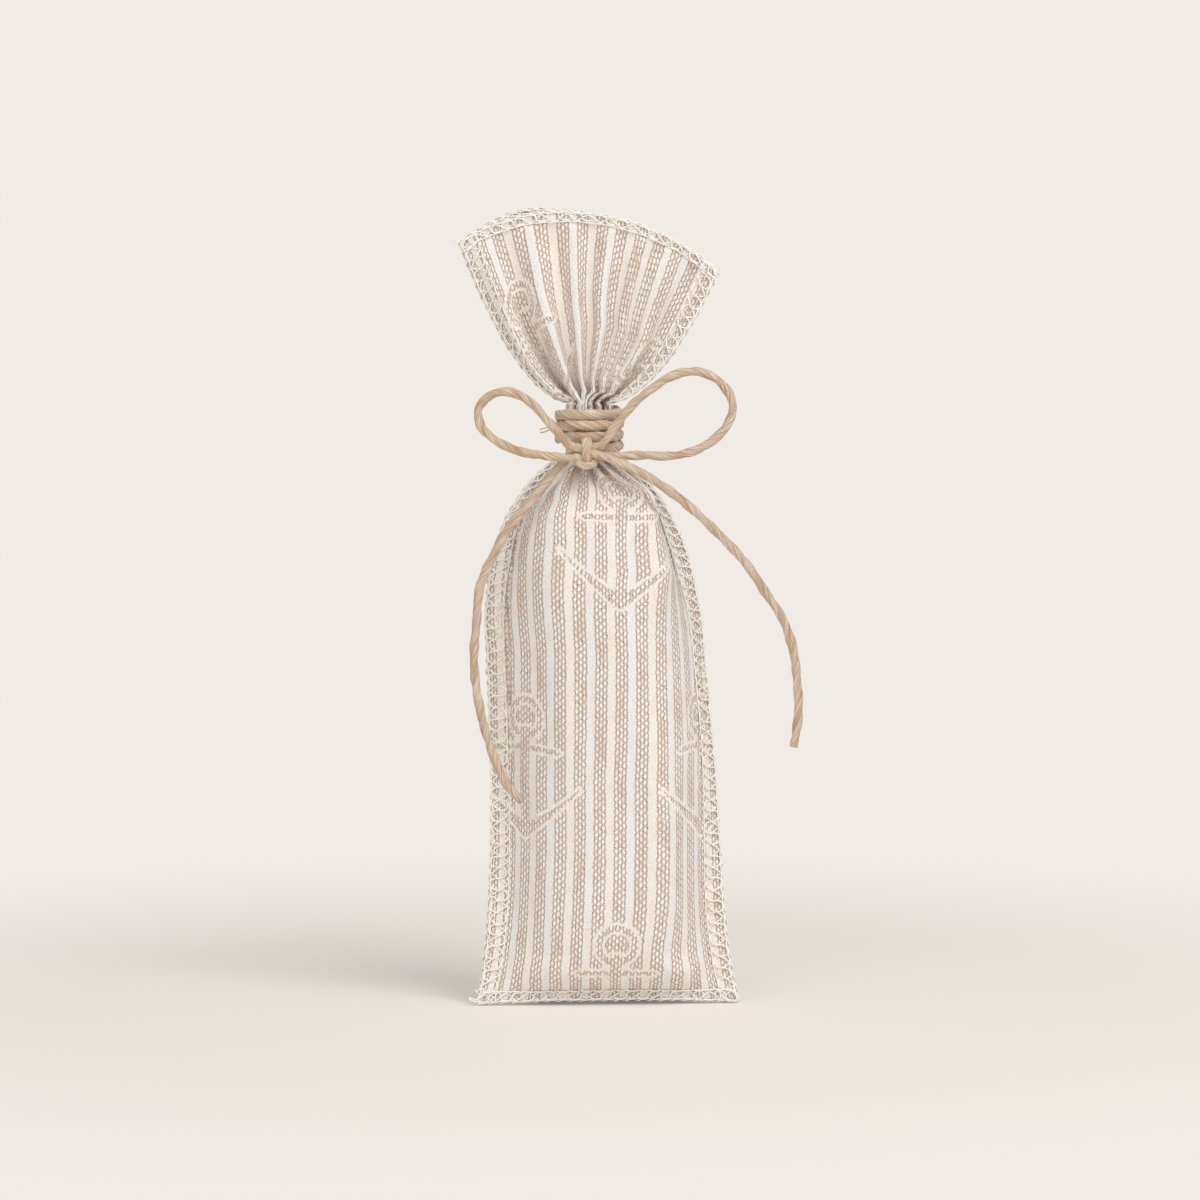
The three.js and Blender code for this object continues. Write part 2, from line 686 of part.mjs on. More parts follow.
// Strands of the bow, as points [x, y, z] from the knot's centre. The left loop and the right tail
// lie in front of the other two, so that the right tail crosses over the right loop.
const rootReach = knotRadius + fitGap;
const leftLoop = [
  [-rootReach, -strandForward, 1.2], [-3.8, -1.4, 1.6], [-5.9, -1.5, 4.0], [-9.2, -1.6, 7.6],
  [-13.1, -1.7, 11.8], [-17.4, -1.7, 14.0], [-21.6, -1.5, 13.6], [-24.9, -1.3, 10.4],
  [-24.4, -1.2, 6.2], [-20.6, -1.3, 2.6], [-15.8, -1.4, 0.4], [-10.4, -1.5, -0.6],
  [-6.0, -1.4, -1.1], [-3.8, -1.4, -1.2], [-rootReach, -strandForward, -1.2],
];
const rightLoop = [
  [rootReach, strandBack, 1.2], [3.8, 1.4, 1.6], [6.4, 1.4, 5.0], [10.3, 1.4, 10.2],
  [15.1, 1.4, 14.4], [20.6, 1.4, 17.8], [26.4, 1.4, 18.6], [31.6, 1.4, 16.0],
  [34.4, 1.4, 11.0], [33.0, 1.4, 6.0], [27.6, 1.4, 1.2], [20.6, 1.4, -0.9],
  [13.6, 1.4, -0.8], [7.6, 1.4, -1.0], [3.8, 1.4, -1.2], [rootReach, strandBack, -1.2],
];
const leftTail = [
  [-rootReach, strandBack, -0.6], [-3.7, 1.4, -0.8], [-5.6, 1.4, -2.7], [-8.6, 1.4, -6.2],
  [-13.6, 1.4, -12.4], [-18.2, 1.4, -18.2], [-21.8, 1.4, -24.6], [-24.6, 1.6, -31.6],
  [-25.4, 1.8, -40.0], [-26.0, 2.0, -48.0], [-25.2, 1.9, -56.6], [-23.4, 1.4, -65.0],
  [-20.8, 0.9, -72.6], [-17.8, 0.4, -78.4], [-14.8, 0.0, -81.4],
];
const rightTail = [
  [rootReach, -strandForward, -0.6], [3.8, -1.4, -0.8], [6.8, -1.4, -2.0], [11.4, -1.4, -4.0],
  [17.4, -1.4, -7.6], [24.0, -1.3, -12.6], [30.8, -1.2, -19.0], [37.2, -1.0, -25.8],
  [41.8, -0.6, -32.6], [46.0, 0.0, -39.0], [48.6, 0.5, -46.4], [49.6, 0.8, -54.0],
  [49.9, 0.9, -61.4], [48.8, 0.7, -69.2],
];

function strand(points) {
  const path = points.map(([x, y, z]) => new THREE.Vector3(x, y, z));
  const length = new THREE.CatmullRomCurve3(path, false, 'centripetal').getLength();
  return tube(path, twineDiameter / 2, 8, Math.round(length / (2 * twineDiameter)));
}

function named(name, geometry, material) {
  const mesh = new THREE.Mesh(geometry, material);
  mesh.name = name;
  return mesh;
}

const turns = windingPoints();
console.log(`least gap between turns of the winding: ${leastGap(turns).toFixed(2)} mm`);

const bow = new THREE.Group();
bow.position.set(knotShift, -knotDepth, knotHeight);
bow.add(
  named('bow_knot', knot(), paper),
  named('bow_loop_left', strand(leftLoop), paper),
  named('bow_loop_right', strand(rightLoop), paper),
  named('tail_left', strand(leftTail), paper),
  named('tail_right', strand(rightTail), paper),
);

const pouch = new THREE.Group();
pouch.add(
  named('front_panel', panel(-1), cotton),
  named('back_panel', panel(1), cotton),
  named('overlock_left', sideBinding(-1), thread),
  named('overlock_right', sideBinding(1), thread),
  named('overlock_bottom', bottomBinding(), thread),
  named('overlock_top_front', topBinding(-1), thread),
  named('overlock_top_back', topBinding(1), thread),
  named('filling', filling(), flowers),
  named('twine_winding', windingTube(turns), paper),
  bow,
);

export default pouch;
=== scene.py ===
# Scented pouch: two striped cotton panels, sewn flat and filled, the neck bound with paper twine.
# Sizes and places are in millimetres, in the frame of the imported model, with the front towards -Y.
# Each mesh is scaled to metres as it is made.
import math

import bpy
import numpy as np
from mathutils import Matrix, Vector


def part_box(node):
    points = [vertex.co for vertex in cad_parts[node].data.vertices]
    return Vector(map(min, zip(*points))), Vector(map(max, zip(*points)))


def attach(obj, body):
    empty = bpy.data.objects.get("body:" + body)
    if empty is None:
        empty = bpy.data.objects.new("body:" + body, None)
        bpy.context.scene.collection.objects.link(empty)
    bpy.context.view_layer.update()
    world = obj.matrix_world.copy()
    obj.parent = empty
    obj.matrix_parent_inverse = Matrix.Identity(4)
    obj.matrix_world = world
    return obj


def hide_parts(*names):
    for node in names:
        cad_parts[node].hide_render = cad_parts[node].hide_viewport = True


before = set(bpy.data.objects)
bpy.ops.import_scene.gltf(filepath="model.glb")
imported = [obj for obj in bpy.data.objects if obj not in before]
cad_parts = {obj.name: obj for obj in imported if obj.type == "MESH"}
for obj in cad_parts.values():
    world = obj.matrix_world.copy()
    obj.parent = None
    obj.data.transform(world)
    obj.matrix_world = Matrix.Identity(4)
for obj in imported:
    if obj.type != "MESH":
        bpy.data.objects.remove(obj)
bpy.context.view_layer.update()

metres = 0.001


# The camera has a long lens. It looks from a little left of the front and just above the middle of
# the pouch, which stands free in a square picture.
camera_distance = 1200
camera_left = math.radians(4)
camera_rise = math.radians(4)
camera_target = Vector((0.5, 0, 94.9))
picture_width = 282
sensor_width = 36

away = Vector((
    -math.sin(camera_left) * math.cos(camera_rise),
    -math.cos(camera_left) * math.cos(camera_rise),
    math.sin(camera_rise),
))
camera = bpy.data.objects.new("camera", bpy.data.cameras.new("camera"))
camera.data.sensor_width = sensor_width
camera.data.lens = sensor_width * camera_distance / picture_width
camera.data.clip_end = 20
camera.location = (camera_target + away * camera_distance) * metres
camera.rotation_euler = (-away).to_track_quat("-Z", "Y").to_euler()
bpy.context.scene.collection.objects.link(camera)
bpy.context.scene.camera = camera


# The bow: one length of twisted paper twine, shown here as its two loops and two tails. A strip of
# kraft paper is twisted on itself, so creases wind slowly along a strand that is never quite round.
twine_diameter = 2.1
twine_lay = 13
strand_step = 0.3
strand_sides = 28

# The paper's creases: their place round the strand, their depth as a share of its radius and their
# half width. Slow waves along the strand swell, flatten and move them.
paper_creases = (
    (0.3, 0.17, 0.28), (1.5, 0.11, 0.18), (2.4, 0.15, 0.24),
    (3.6, 0.12, 0.20), (4.5, 0.18, 0.30), (5.4, 0.10, 0.16),
)
thick_share, oval_share, oval_swell, corner_share = 0.06, 0.08, 0.05, 0.03
crease_least, crease_swell, crease_wander = 0.7, 0.5, 0.4
strand_fullness = 0.99

knot_low, knot_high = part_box("bow_knot")
knot_middle = (knot_low + knot_high) / 2 / metres
knot_centre = np.array([knot_middle.x, knot_middle.y, knot_middle.z])

left_loop = [
    [-2.65, -1.35, 1.2], [-3.8, -1.4, 1.6], [-5.9, -1.5, 4.0], [-9.2, -1.6, 7.6],
    [-13.1, -1.7, 11.8], [-17.4, -1.7, 14.0], [-21.6, -1.5, 13.6], [-24.9, -1.3, 10.4],
    [-24.4, -1.2, 6.2], [-20.6, -1.3, 2.6], [-15.8, -1.4, 0.4], [-10.4, -1.5, -0.6],
    [-6.0, -1.4, -1.1], [-3.8, -1.4, -1.2], [-2.65, -1.35, -1.2],
]
right_loop = [
    [2.65, 1.35, 1.2], [3.8, 1.4, 1.6], [6.4, 1.4, 5.0], [10.3, 1.4, 10.2],
    [15.1, 1.4, 14.4], [20.6, 1.4, 17.8], [26.4, 1.4, 18.6], [31.6, 1.4, 16.0],
    [34.4, 1.4, 11.0], [33.0, 1.4, 6.0], [27.6, 1.4, 1.2], [20.6, 1.4, -0.9],
    [13.6, 1.4, -0.8], [7.6, 1.4, -1.0], [3.8, 1.4, -1.2], [2.65, 1.35, -1.2],
]
left_tail = [
    [-2.65, 1.35, -0.6], [-3.7, 1.4, -0.8], [-5.6, 1.4, -2.7], [-8.6, 1.4, -6.2],
    [-13.6, 1.4, -12.4], [-18.2, 1.4, -18.2], [-21.8, 1.4, -24.6], [-24.6, 1.6, -31.6],
    [-25.4, 1.8, -40.0], [-26.0, 2.0, -48.0], [-25.2, 1.9, -56.6], [-23.4, 1.4, -65.0],
    [-20.8, 0.9, -72.6], [-17.8, 0.4, -78.4], [-14.8, 0.0, -81.4],
]
right_tail = [
    [2.65, -1.35, -0.6], [3.8, -1.4, -0.8], [6.8, -1.4, -2.0], [11.4, -1.4, -4.0],
    [17.4, -1.4, -7.6], [24.0, -1.3, -12.6], [30.8, -1.2, -19.0], [37.2, -1.0, -25.8],
    [41.8, -0.6, -32.6], [46.0, 0.0, -39.0], [48.6, 0.5, -46.4], [49.6, 0.8, -54.0],
    [49.9, 0.9, -61.4], [48.8, 0.7, -69.2],
]


def run_along(points):
    """How far along a line each of its points is."""
    return np.append(0, np.cumsum(np.linalg.norm(np.diff(points, axis=0), axis=1)))


def smooth_line(points, step):
    """Even points, step apart, on the centripetal curve through the given ones."""
    given = np.array(points, float)
    ends = np.vstack([2 * given[0] - given[1], given, 2 * given[-1] - given[-2]])
    fine = []
    for a, b, c, d in zip(ends, ends[1:], ends[2:], ends[3:]):
        before, within, after = (math.dist(p, q) ** 0.5 for p, q in ((a, b), (b, c), (c, d)))
        leave = (b - a) / before - (c - a) / (before + within) + (c - b) / within
        arrive = (c - b) / within - (d - b) / (within + after) + (d - c) / after
        t = np.linspace(0, 1, 40, endpoint=False)[:, None]
        fine.append(
            b * (2 * t**3 - 3 * t**2 + 1) + leave * within * (t**3 - 2 * t**2 + t)
            + c * (3 * t**2 - 2 * t**3) + arrive * within * (t**3 - t**2)
        )
    fine = np.vstack([*fine, given[-1:]])
    run = run_along(fine)
    stations = np.linspace(0, run[-1], round(run[-1] / step) + 1)
    return np.column_stack([np.interp(stations, run, fine[:, k]) for k in range(3)])


def slow_noise(along, wavelength, seed):
    """A smooth random wave between about -1 and 1 along a line."""
    rng = np.random.default_rng(seed)
    total = np.zeros_like(along, dtype=float)
    for share in (1.0, 0.61, 0.37):
        total += np.sin(2 * math.pi * along / (wavelength * share) + rng.uniform(0, 2 * math.pi))
    return total / 2.2


def new_piece(name, vertices, faces, vectors=None):
    """A smooth mesh object in metres, with point attributes for its material to read."""
    mesh = bpy.data.meshes.new(name)
    mesh.from_pydata((np.asarray(vertices) * metres).tolist(), [], faces)
    for key, values in (vectors or {}).items():
        layer = mesh.attributes.new(key, "FLOAT_VECTOR", "POINT")
        layer.data.foreach_set("vector", np.asarray(values, np.float32).ravel())
    mesh.shade_smooth()
    piece = bpy.data.objects.new(name, mesh)
    bpy.context.scene.collection.objects.link(piece)
    return piece


def twine_rings(line, seed, wide=1.0, deep=1.0, up=None):
    """Rings of points round a line, and each point's place among the paper's fibres.

    wide and deep stretch the section along and square to the direction given by up.
    """
    along = np.gradient(line, axis=0)
    along /= np.linalg.norm(along, axis=1)[:, None]
    run = run_along(line)
    first = np.cross(along[0], [0.3, 1.0, 0.2])
    side = first / np.linalg.norm(first)
    rings = []
    fibres = []
    drift = [slow_noise(run, 17 + 3 * k, seed * 10 + k) for k in range(len(paper_creases))]
    swell = slow_noise(run, 11, seed * 10 + 8)
    thick = slow_noise(run, 23, seed * 10 + 9)
    around = np.linspace(0, 2 * math.pi, strand_sides, endpoint=False)
    for i, point in enumerate(line):
        if up is None:
            side = side - along[i] * side.dot(along[i])
            side /= np.linalg.norm(side)
            height = np.cross(along[i], side)
        else:
            height = up[i] - along[i] * up[i].dot(along[i])
            height /= np.linalg.norm(height)
            side = np.cross(height, along[i])
        turned = around - 2 * math.pi * run[i] / twine_lay
        radius = 1 + thick_share * thick[i] + (oval_share + oval_swell * swell[i]) * np.cos(2 * turned)
        radius += corner_share * np.cos(3 * turned + 1.3)
        for k, (place, depth, width) in enumerate(paper_creases):
            off = (turned - place - crease_wander * drift[k][i] + math.pi) % (2 * math.pi) - math.pi
            deep_here = depth * (crease_least + crease_swell * drift[k][i])
            radius -= deep_here * np.exp(-((off / width) ** 2))
        radius *= strand_fullness * twine_diameter / 2
        rings.append(
            point + np.outer(wide * radius * np.cos(around), side)
            + np.outer(deep * radius * np.sin(around), height)
        )
        fibres.append(np.column_stack([
            np.cos(turned), np.sin(turned), np.full_like(turned, run[i] / twine_lay + 7.7 * seed),
        ]))
    return np.array(rings), np.array(fibres)


def tube_piece(name, strands, key, drawn_in):
    """One mesh of closed tubes. Each strand is rings of points and the vectors that its material
    reads under key. drawn_in is the share of their width that its two ends keep."""
    vertices = []
    vectors = []
    faces = []
    start = 0
    for rings, places in strands:
        count, sides = rings.shape[:2]
        for end in (0, -1):
            middle_of_end = rings[end].mean(axis=0)
            rings[end] = middle_of_end + (rings[end] - middle_of_end) * drawn_in
        vertices.append(rings.reshape(-1, 3))
        vectors.append(places.reshape(-1, 3))
        ring = np.arange(sides)
        after = (ring + 1) % sides
        for low in range(start, start + (count - 1) * sides, sides):
            high = low + sides
            faces += np.column_stack([low + ring, low + after, high + after, high + ring]).tolist()
        faces.append(tuple(range(start, start + sides))[::-1])
        start += count * sides
        faces.append(tuple(range(start - sides, start)))
    return new_piece(name, np.vstack(vertices), faces, {key: np.vstack(vectors)})


def srgb(red, green, blue):
    """A colour as a shader socket wants it, from the 0 to 255 values of a picture."""
    linear = [((c / 255 + 0.055) / 1.055) ** 2.4 if c > 10 else c / 255 / 12.92 for c in (red, green, blue)]
    return (*linear, 1)


def reckoned(operation, turned=False):
    """A method that reckons with Numbers by one operation of the math node."""

    def method(self, *others):
        values = (*others, self) if turned else (self, *others)
        return self.shader.math(operation, *values)

    return method


class Number:
    """A number inside a material, reckoned with as plain numbers are."""

    def __init__(self, shader, socket):
        self.shader = shader
        self.socket = socket

    __add__, __sub__, __mul__, __truediv__ = map(reckoned, ("ADD", "SUBTRACT", "MULTIPLY", "DIVIDE"))
    __pow__, __mod__, __abs__, __round__ = map(reckoned, ("POWER", "FLOORED_MODULO", "ABSOLUTE", "ROUND"))
    __rsub__ = reckoned("SUBTRACT", turned=True)


class Shader:
    """The material of one slot. Its nodes are added one by one, each taking numbers, sockets or
    plain values."""

    def __init__(self, slot, roughness):
        self.slot = slot
        self.material = bpy.data.materials.new(slot)
        self.material.use_nodes = True
        self.tree = self.material.node_tree
        self.skin = self.tree.nodes["Principled BSDF"]
        self.skin.inputs["Roughness"].default_value = roughness

    def node(self, kind, inputs=(), **settings):
        made = self.tree.nodes.new(kind)
        for key, value in settings.items():
            setattr(made, key, value)
        for key, value in dict(inputs).items():
            self.set(made.inputs[key], value)
        return made

    def set(self, socket, value):
        if isinstance(value, Number):
            value = value.socket
        if isinstance(value, bpy.types.NodeSocket):
            self.tree.links.new(value, socket)
        else:
            socket.default_value = value

    def number(self, kind, inputs, **settings):
        return Number(self, self.node(kind, inputs, **settings).outputs[0])

    def math(self, operation, *values):
        return self.number("ShaderNodeMath", enumerate(values), operation=operation)

    def mix(self, share, low, high):
        inputs = {0: share, 6: low, 7: high}
        return self.node("ShaderNodeMix", inputs, data_type="RGBA").outputs[2]

    def ramp(self, value, low, high):
        """0 below low, 1 above high and smooth between them."""
        inputs = {0: value, 1: low, 2: high}
        return self.number("ShaderNodeMapRange", inputs, interpolation_type="SMOOTHSTEP")

    def noise(self, place, scale, detail=2.0):
        return self.number("ShaderNodeTexNoise", {"Vector": place, "Scale": scale, "Detail": detail})

    def stretch(self, place, factors):
        return self.node("ShaderNodeMapping", {"Vector": place, "Scale": factors}).outputs[0]

    def attribute(self, name):
        return self.node("ShaderNodeAttribute", attribute_name=name).outputs["Vector"]

    def finish(self, colour, relief, depth, strength):
        """Lays the colour on the skin and raises the relief, depth metres high at 1, on it."""
        bumps = self.node("ShaderNodeBump", {"Height": relief, "Distance": depth, "Strength": strength})
        self.set(self.skin.inputs["Base Color"], colour)
        self.set(self.skin.inputs["Normal"], bumps.outputs[0])


def fitted(piece, shader, node, body="pouch"):
    """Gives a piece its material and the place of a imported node, on one of the bodies."""
    piece.data.materials.append(shader.material)
    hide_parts(node)
    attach(piece, body)


# Kraft paper tones, and a dark brown used as painted shade in the grooves between the paper's fibres
kraft_cream = srgb(245, 228, 208)
kraft_tan = srgb(215, 187, 154)
kraft_rust = srgb(204, 152, 106)
painted_groove_shade = srgb(124, 92, 62)

paper = Shader("paper_twine", 0.62)
fibre = paper.attribute("fibre")
streaks = paper.noise(paper.stretch(fibre, (2.2, 2.2, 0.8)), 2.0, 4.0)
threads = paper.noise(paper.stretch(fibre, (8.0, 8.0, 1.1)), 2.0, 3.0)
patches = paper.noise(paper.stretch(fibre, (0.8, 0.8, 1.2)), 1.3, 2.0)
dents = paper.noise(paper.stretch(fibre, (2.6, 2.6, 7.0)), 1.4, 3.0)
colour = paper.mix(paper.ramp(streaks, 0.40, 0.58), kraft_tan, kraft_cream)
colour = paper.mix(paper.ramp(patches, 0.54, 0.68) * 0.7, colour, kraft_rust)
# Painted shade: dark brown laid where the threads noise is low, which is where the fibre relief dips into
# grooves
colour = paper.mix(paper.ramp(threads, 0.54, 0.36) * 0.55, colour, painted_groove_shade)
paper.finish(colour, threads + dents * 0.8 + streaks, depth=0.00018, strength=0.9)
paper.skin.inputs["Specular IOR Level"].default_value = 0.35
paper.skin.inputs["Sheen Weight"].default_value = 0.15


def twine_piece(name, strands):
    return tube_piece(name, strands, "fibre", drawn_in=0.8)


def bow_strand(name, node, body, points, seed):
    line = smooth_line(knot_centre + np.array(points), strand_step)
    length = float(run_along(line)[-1])
    strand = twine_piece(name, [twine_rings(line, seed)])
    fitted(strand, paper, node, body)
    return length


loop_lengths = [
    bow_strand("left_bow_loop", "bow_loop_left", "loop_left", left_loop, 1),
    bow_strand("right_bow_loop", "bow_loop_right", "loop_right", right_loop, 2),
]
tail_lengths = [
    bow_strand("left_twine_tail", "tail_left", "strand_left", left_tail, 3),
    bow_strand("right_twine_tail", "tail_right", "strand_right", right_tail, 4),
]
print("twine lengths, mm:", [round(length, 1) for length in loop_lengths + tail_lengths])


# The winding: three and a half turns of the same twine drawn tight round the gathered neck, so that
# four rows lie one above the other at the front. Under tension the twine flattens, so each turn is
# taller than it is deep and presses on the next one.
winding_turns = 3.5
flat_tall = 1.2
flat_deep = 0.9
turn_waver = 0.16
radius_waver = 0.08
turn_overlap = 0.05
winding_steps = 570
front_level = 0.75

winding_low, winding_high = (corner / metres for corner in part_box("twine_winding"))
winding_middle = (winding_low + winding_high) / 2
winding_radius = (winding_high.y - winding_low.y - twine_diameter) / 2
winding_pitch = (winding_high.z - winding_low.z - twine_diameter) / winding_turns

turn = np.linspace(-turn_overlap, winding_turns + turn_overlap, winding_steps)
angle = 2 * math.pi * turn - math.pi / 2
waver = slow_noise(turn * 30, 41, 5)
climb = turn - winding_turns / 2 - front_level * np.sin(2 * math.pi * turn) / (2 * math.pi)
winding_line = np.column_stack([
    winding_middle.x + (winding_radius + radius_waver * waver) * np.cos(angle),
    (winding_radius + radius_waver * waver) * np.sin(angle),
    winding_middle.z + winding_pitch * climb + turn_waver * waver,
])
upright = np.tile([0.0, 0.0, 1.0], (len(winding_line), 1))
winding_strands = [twine_rings(winding_line, 5, wide=flat_deep, deep=flat_tall, up=upright)]

# Loose fibres stand off from the paper beside the winding
loose_fibres = [
    [(-9.4, -5.0, 136.9), (-11.0, -5.6, 136.2), (-12.6, -5.8, 135.6), (-14.0, -5.4, 135.2)],
    [(-9.6, -4.6, 136.4), (-11.4, -5.2, 135.3), (-13.0, -5.4, 134.6), (-13.9, -5.6, 134.5)],
    [(3.8, -4.9, 137.9), (5.2, -5.4, 138.2), (6.6, -5.2, 138.0)],
]
for index, points in enumerate(loose_fibres):
    winding_strands.append(twine_rings(smooth_line(points, strand_step), 40 + index, wide=0.13, deep=0.1))
fitted(twine_piece("neck_winding", winding_strands), paper, "twine_winding")


# The knot: the strands of the bow cross here, and one turn of the twine is drawn tight over them.
# The strands are flattened where the turn grips them, and a bight of it bulges out underneath.
knot_strands = [
    [[-2.9, -1.38, 1.28], [-1.3, -1.2, 0.9], [0.4, -1.15, 0.25], [2.9, -1.38, -0.68]],
    [[2.9, 1.38, 1.28], [1.3, 0.9, 1.0], [-0.4, 0.8, 0.4], [-2.9, 1.38, -0.68]],
    [[-2.9, -1.38, -1.2], [-1.7, -1.25, -1.2], [-0.6, -0.9, -1.3], [0.8, 0.1, -1.3]],
    [[2.9, 1.38, -1.2], [1.6, 1.1, -1.3], [0.2, 0.7, -1.4]],
]
knot_bight = [[-2.0, 0.5, -1.7], [-1.8, -0.9, -2.2], [-0.2, -1.7, -2.9], [1.5, -1.0, -2.4], [2.1, 0.5, -1.6]]
knot_turn = [
    [0.3, 1.9, 1.4], [0.2, 0.6, 2.6], [0.1, -1.3, 2.7], [0.0, -2.3, 1.4],
    [0.0, -2.45, 0.0], [0.1, -2.25, -1.4], [0.2, -1.3, -2.3], [0.3, 1.0, -2.2],
]
knot_body = [
    twine_rings(smooth_line(knot_centre + np.array(points), strand_step), 20 + index)
    for index, points in enumerate([*knot_strands, knot_bight])
]
turn_line = smooth_line(knot_centre + np.array(knot_turn), strand_step)
crosswise = np.tile([1.0, 0.0, 0.0], (len(turn_line), 1))
knot_body.append(twine_rings(turn_line, 30, wide=0.62, deep=1.12, up=crosswise))
fitted(twine_piece("tied_knot", knot_body), paper, "bow_knot")


# The two panels: one cotton cloth, woven with brown and pale stripes, cut twice to the same width.
# They are sewn together flat, filled, and gathered at the neck, so the front panel bellies between
# its seams, folds into pleats under the winding and opens into a fan above it. The back panel does
# the same behind it, and its low end makes the heel on which the pouch stands.
cloth_width = 63.5
cloth_thickness = 0.45
seam_gap = 0.15
cloth_edge = 0.5
flange = 4.7
bottom_flange = 3.3

foot_width = 56.4
shoulder_width = 51.6
corner_flare = 3.3
corner_flare_reach = 14
shoulder_height = 85
shoulder_rise = 44.4
body_shift = 1.9
side_round = (2.6, 1.39)
belly_round = (3.4, 1.8)
foot_round = (2.4, 1.8)
belly_depth = {"front": 13.0, "back": 13.4}
belly_rise = 26
foot_forward = 5.6
foot_forward_reach = 18
hem_lift = 0.7
hem_lift_reach = 12

neck_radius = 5.6
neck_foot = shoulder_height + shoulder_rise
neck_top = winding_high.z + 0.34
fan_half_width = 30.9
fan_height = 45.1
fan_opening = 12
fan_opening_curve = 0.57
mouth_depth = 1.3
crown_sag = 8.7
crown_shift = 0.2
corner_drop = 1.6
corner_curve = 6
back_hem_rise = 1.2
back_hem_place, back_hem_wide = -0.5, 0.28
neck_shift = winding_middle.x
middle_moves = (0.25, 0.93)
most_slanted = 2.6
edge_bunching = 1.6

# The belly climbs from each stitch line and rounds over. The seam allowances are turned back.
left_slope_run = 21.0
right_slope_run = 19.0
slope_fullness = 3.0
tightest_slope_run = 0.74
plateau_rise = 0.08
flange_turn = (math.radians(28), math.radians(50))
flange_turn_reach = (0.06, 0.5, 0.64, 0.97)
flange_turn_round = 1.4
most_turned_back = 1.1
crease_depth = 1.0
crease_half = 0.8
crease_out = 0.1
crease_from, crease_until = (50, 75), (121, 127)

# Pleats: where their ridges and valleys lie across the cloth, and where they begin below the neck
pleat_ridges = (-26.9, -15.0, -4.4, 3.8, 11.3, 20.0)
pleat_valleys = (-21.9, -9.4, -0.9, 7.5, 15.6, 25.3)
pleats_from, pleats_full = 116, 129

# How strongly the cloth is folded: all over, and around some places, each with its spread and share
fan_folds = (0.6, (-19, 7, 0.2), (-1, 10.5, 0.25))
shoulder_folds = (0.12, (-27, 5, 0.35), (22, 7, 1.1))

# The folds stand steeper and sharper at the neck than below and above it
neck_weights_from, neck_folds_from, neck_folds_opened, neck_joined_from = 120, 121, 0.14, 124
steepest_fold = (1.25, 2.2)
fold_sharpness = (1.0, 0.5)
strongest_fold = 9.0
most_gathered = 0.9
ripple_level_reach = 5.0
ripple_seam_fade = 3

# Heights between which the belly's wrinkles and the seams' puckers begin, and the wrinkles end
wrinkles_from = {"front": (8, 25), "back": (28, 50)}
wrinkles_until = (108, 124)
puckers_from = (6, 16)
wrinkle_sizes = ((26, 0.32), (15, 0.20), (9, 0.10))
wrinkles_of_each = 4
wrinkle_turn, wrinkle_climb = 0.9, 0.45
pucker_depth, pucker_reach = 0.16, 3.2
pucker_lengths = (6.1, 5.3)


def mix(low, high, share):
    return low + (high - low) * share


def ease(value, low, high):
    t = np.clip((value - low) / (high - low), 0, 1)
    return t * t * (3 - 2 * t)


def rounded(t, full, turn):
    """Falls from 1 to 0 as t goes from 0 to 1, full at first and round at its end."""
    return (1 - np.clip(t, 0, 1) ** full) ** (1 / turn)


def crown_at(across):
    """The height of the top hem, which is crowned and drops at its corners."""
    crown = neck_top + fan_height - crown_sag * (across + crown_shift) ** 2
    return crown - corner_drop * across**corner_curve


fan_rise = crown_at(-1) - neck_top


def half_width(height):
    """Half the distance from seam edge to seam edge at a height of the side seam."""
    straight = mix(foot_width, shoulder_width, height / shoulder_height) / 2
    straight = straight + corner_flare * np.exp(-height / corner_flare_reach)
    climb = (height - shoulder_height) / shoulder_rise
    body = neck_radius + (straight - neck_radius) * rounded(climb, *side_round)
    opened = np.clip((height - neck_top) / fan_rise, 0, None) ** fan_opening_curve
    return np.where(height >= neck_top, neck_radius + (fan_half_width - neck_radius) * opened, body)


def slant(height):
    """How much wider than square a width lies where the seam's edge slants."""
    slope = (half_width(height + 0.25) - half_width(height - 0.25)) / 0.5
    return np.clip(np.hypot(1, slope), 1, most_slanted)


def middle(height):
    """How far to the right of the frame's middle the pouch's own middle is."""
    low, high = (share * neck_foot for share in middle_moves)
    return mix(body_shift, neck_shift, ease(height, low, high))


def seam_forward(height):
    """How far the side seams stand forward, which they do towards the foot."""
    return -foot_forward * np.exp(-np.maximum(0, height - bottom_flange) / foot_forward_reach)


def bulge(height, depth):
    """How far a panel stands off the seams' plane at its fullest, at a height."""
    rest = neck_radius - seam_gap - cloth_thickness
    body = rest + (depth - rest) * rounded((height - shoulder_height) / shoulder_rise, *belly_round)
    opened = mix(rest, mouth_depth, ease(height, neck_top, neck_top + fan_opening))
    return np.where(height >= neck_top, opened, body)


def flange_turns(height):
    """How far the left and the right seam allowance are turned back, as angles."""
    start, full, until, end = (share * neck_foot for share in flange_turn_reach)
    share = ease(height, start, full) * (1 - ease(height, until, end))
    return [turn * share for turn in flange_turn]


columns = 150
along = np.linspace(-cloth_width / 2, cloth_width / 2, columns)
spacing = along[1] - along[0]
stitch = cloth_width / 2 - flange
beyond_stitch = np.maximum(0, np.abs(along) - stitch)

# Mean sine and cosine over a slope that starts steep at the seam and rounds over to the plateau
steepest = np.linspace(0, math.radians(86), 200)
slope_run = 1 - np.linspace(0, 1, 101) ** slope_fullness
mean_sine = np.sin(np.outer(steepest, slope_run)).mean(axis=1)
mean_cosine = np.cos(np.outer(steepest, slope_run)).mean(axis=1)


def bisected(low, high, holds):
    """The value from low to high up to which a test holds."""
    for _ in range(22):
        half = (low + high) / 2
        low, high = (half, high) if holds(half) else (low, half)
    return low


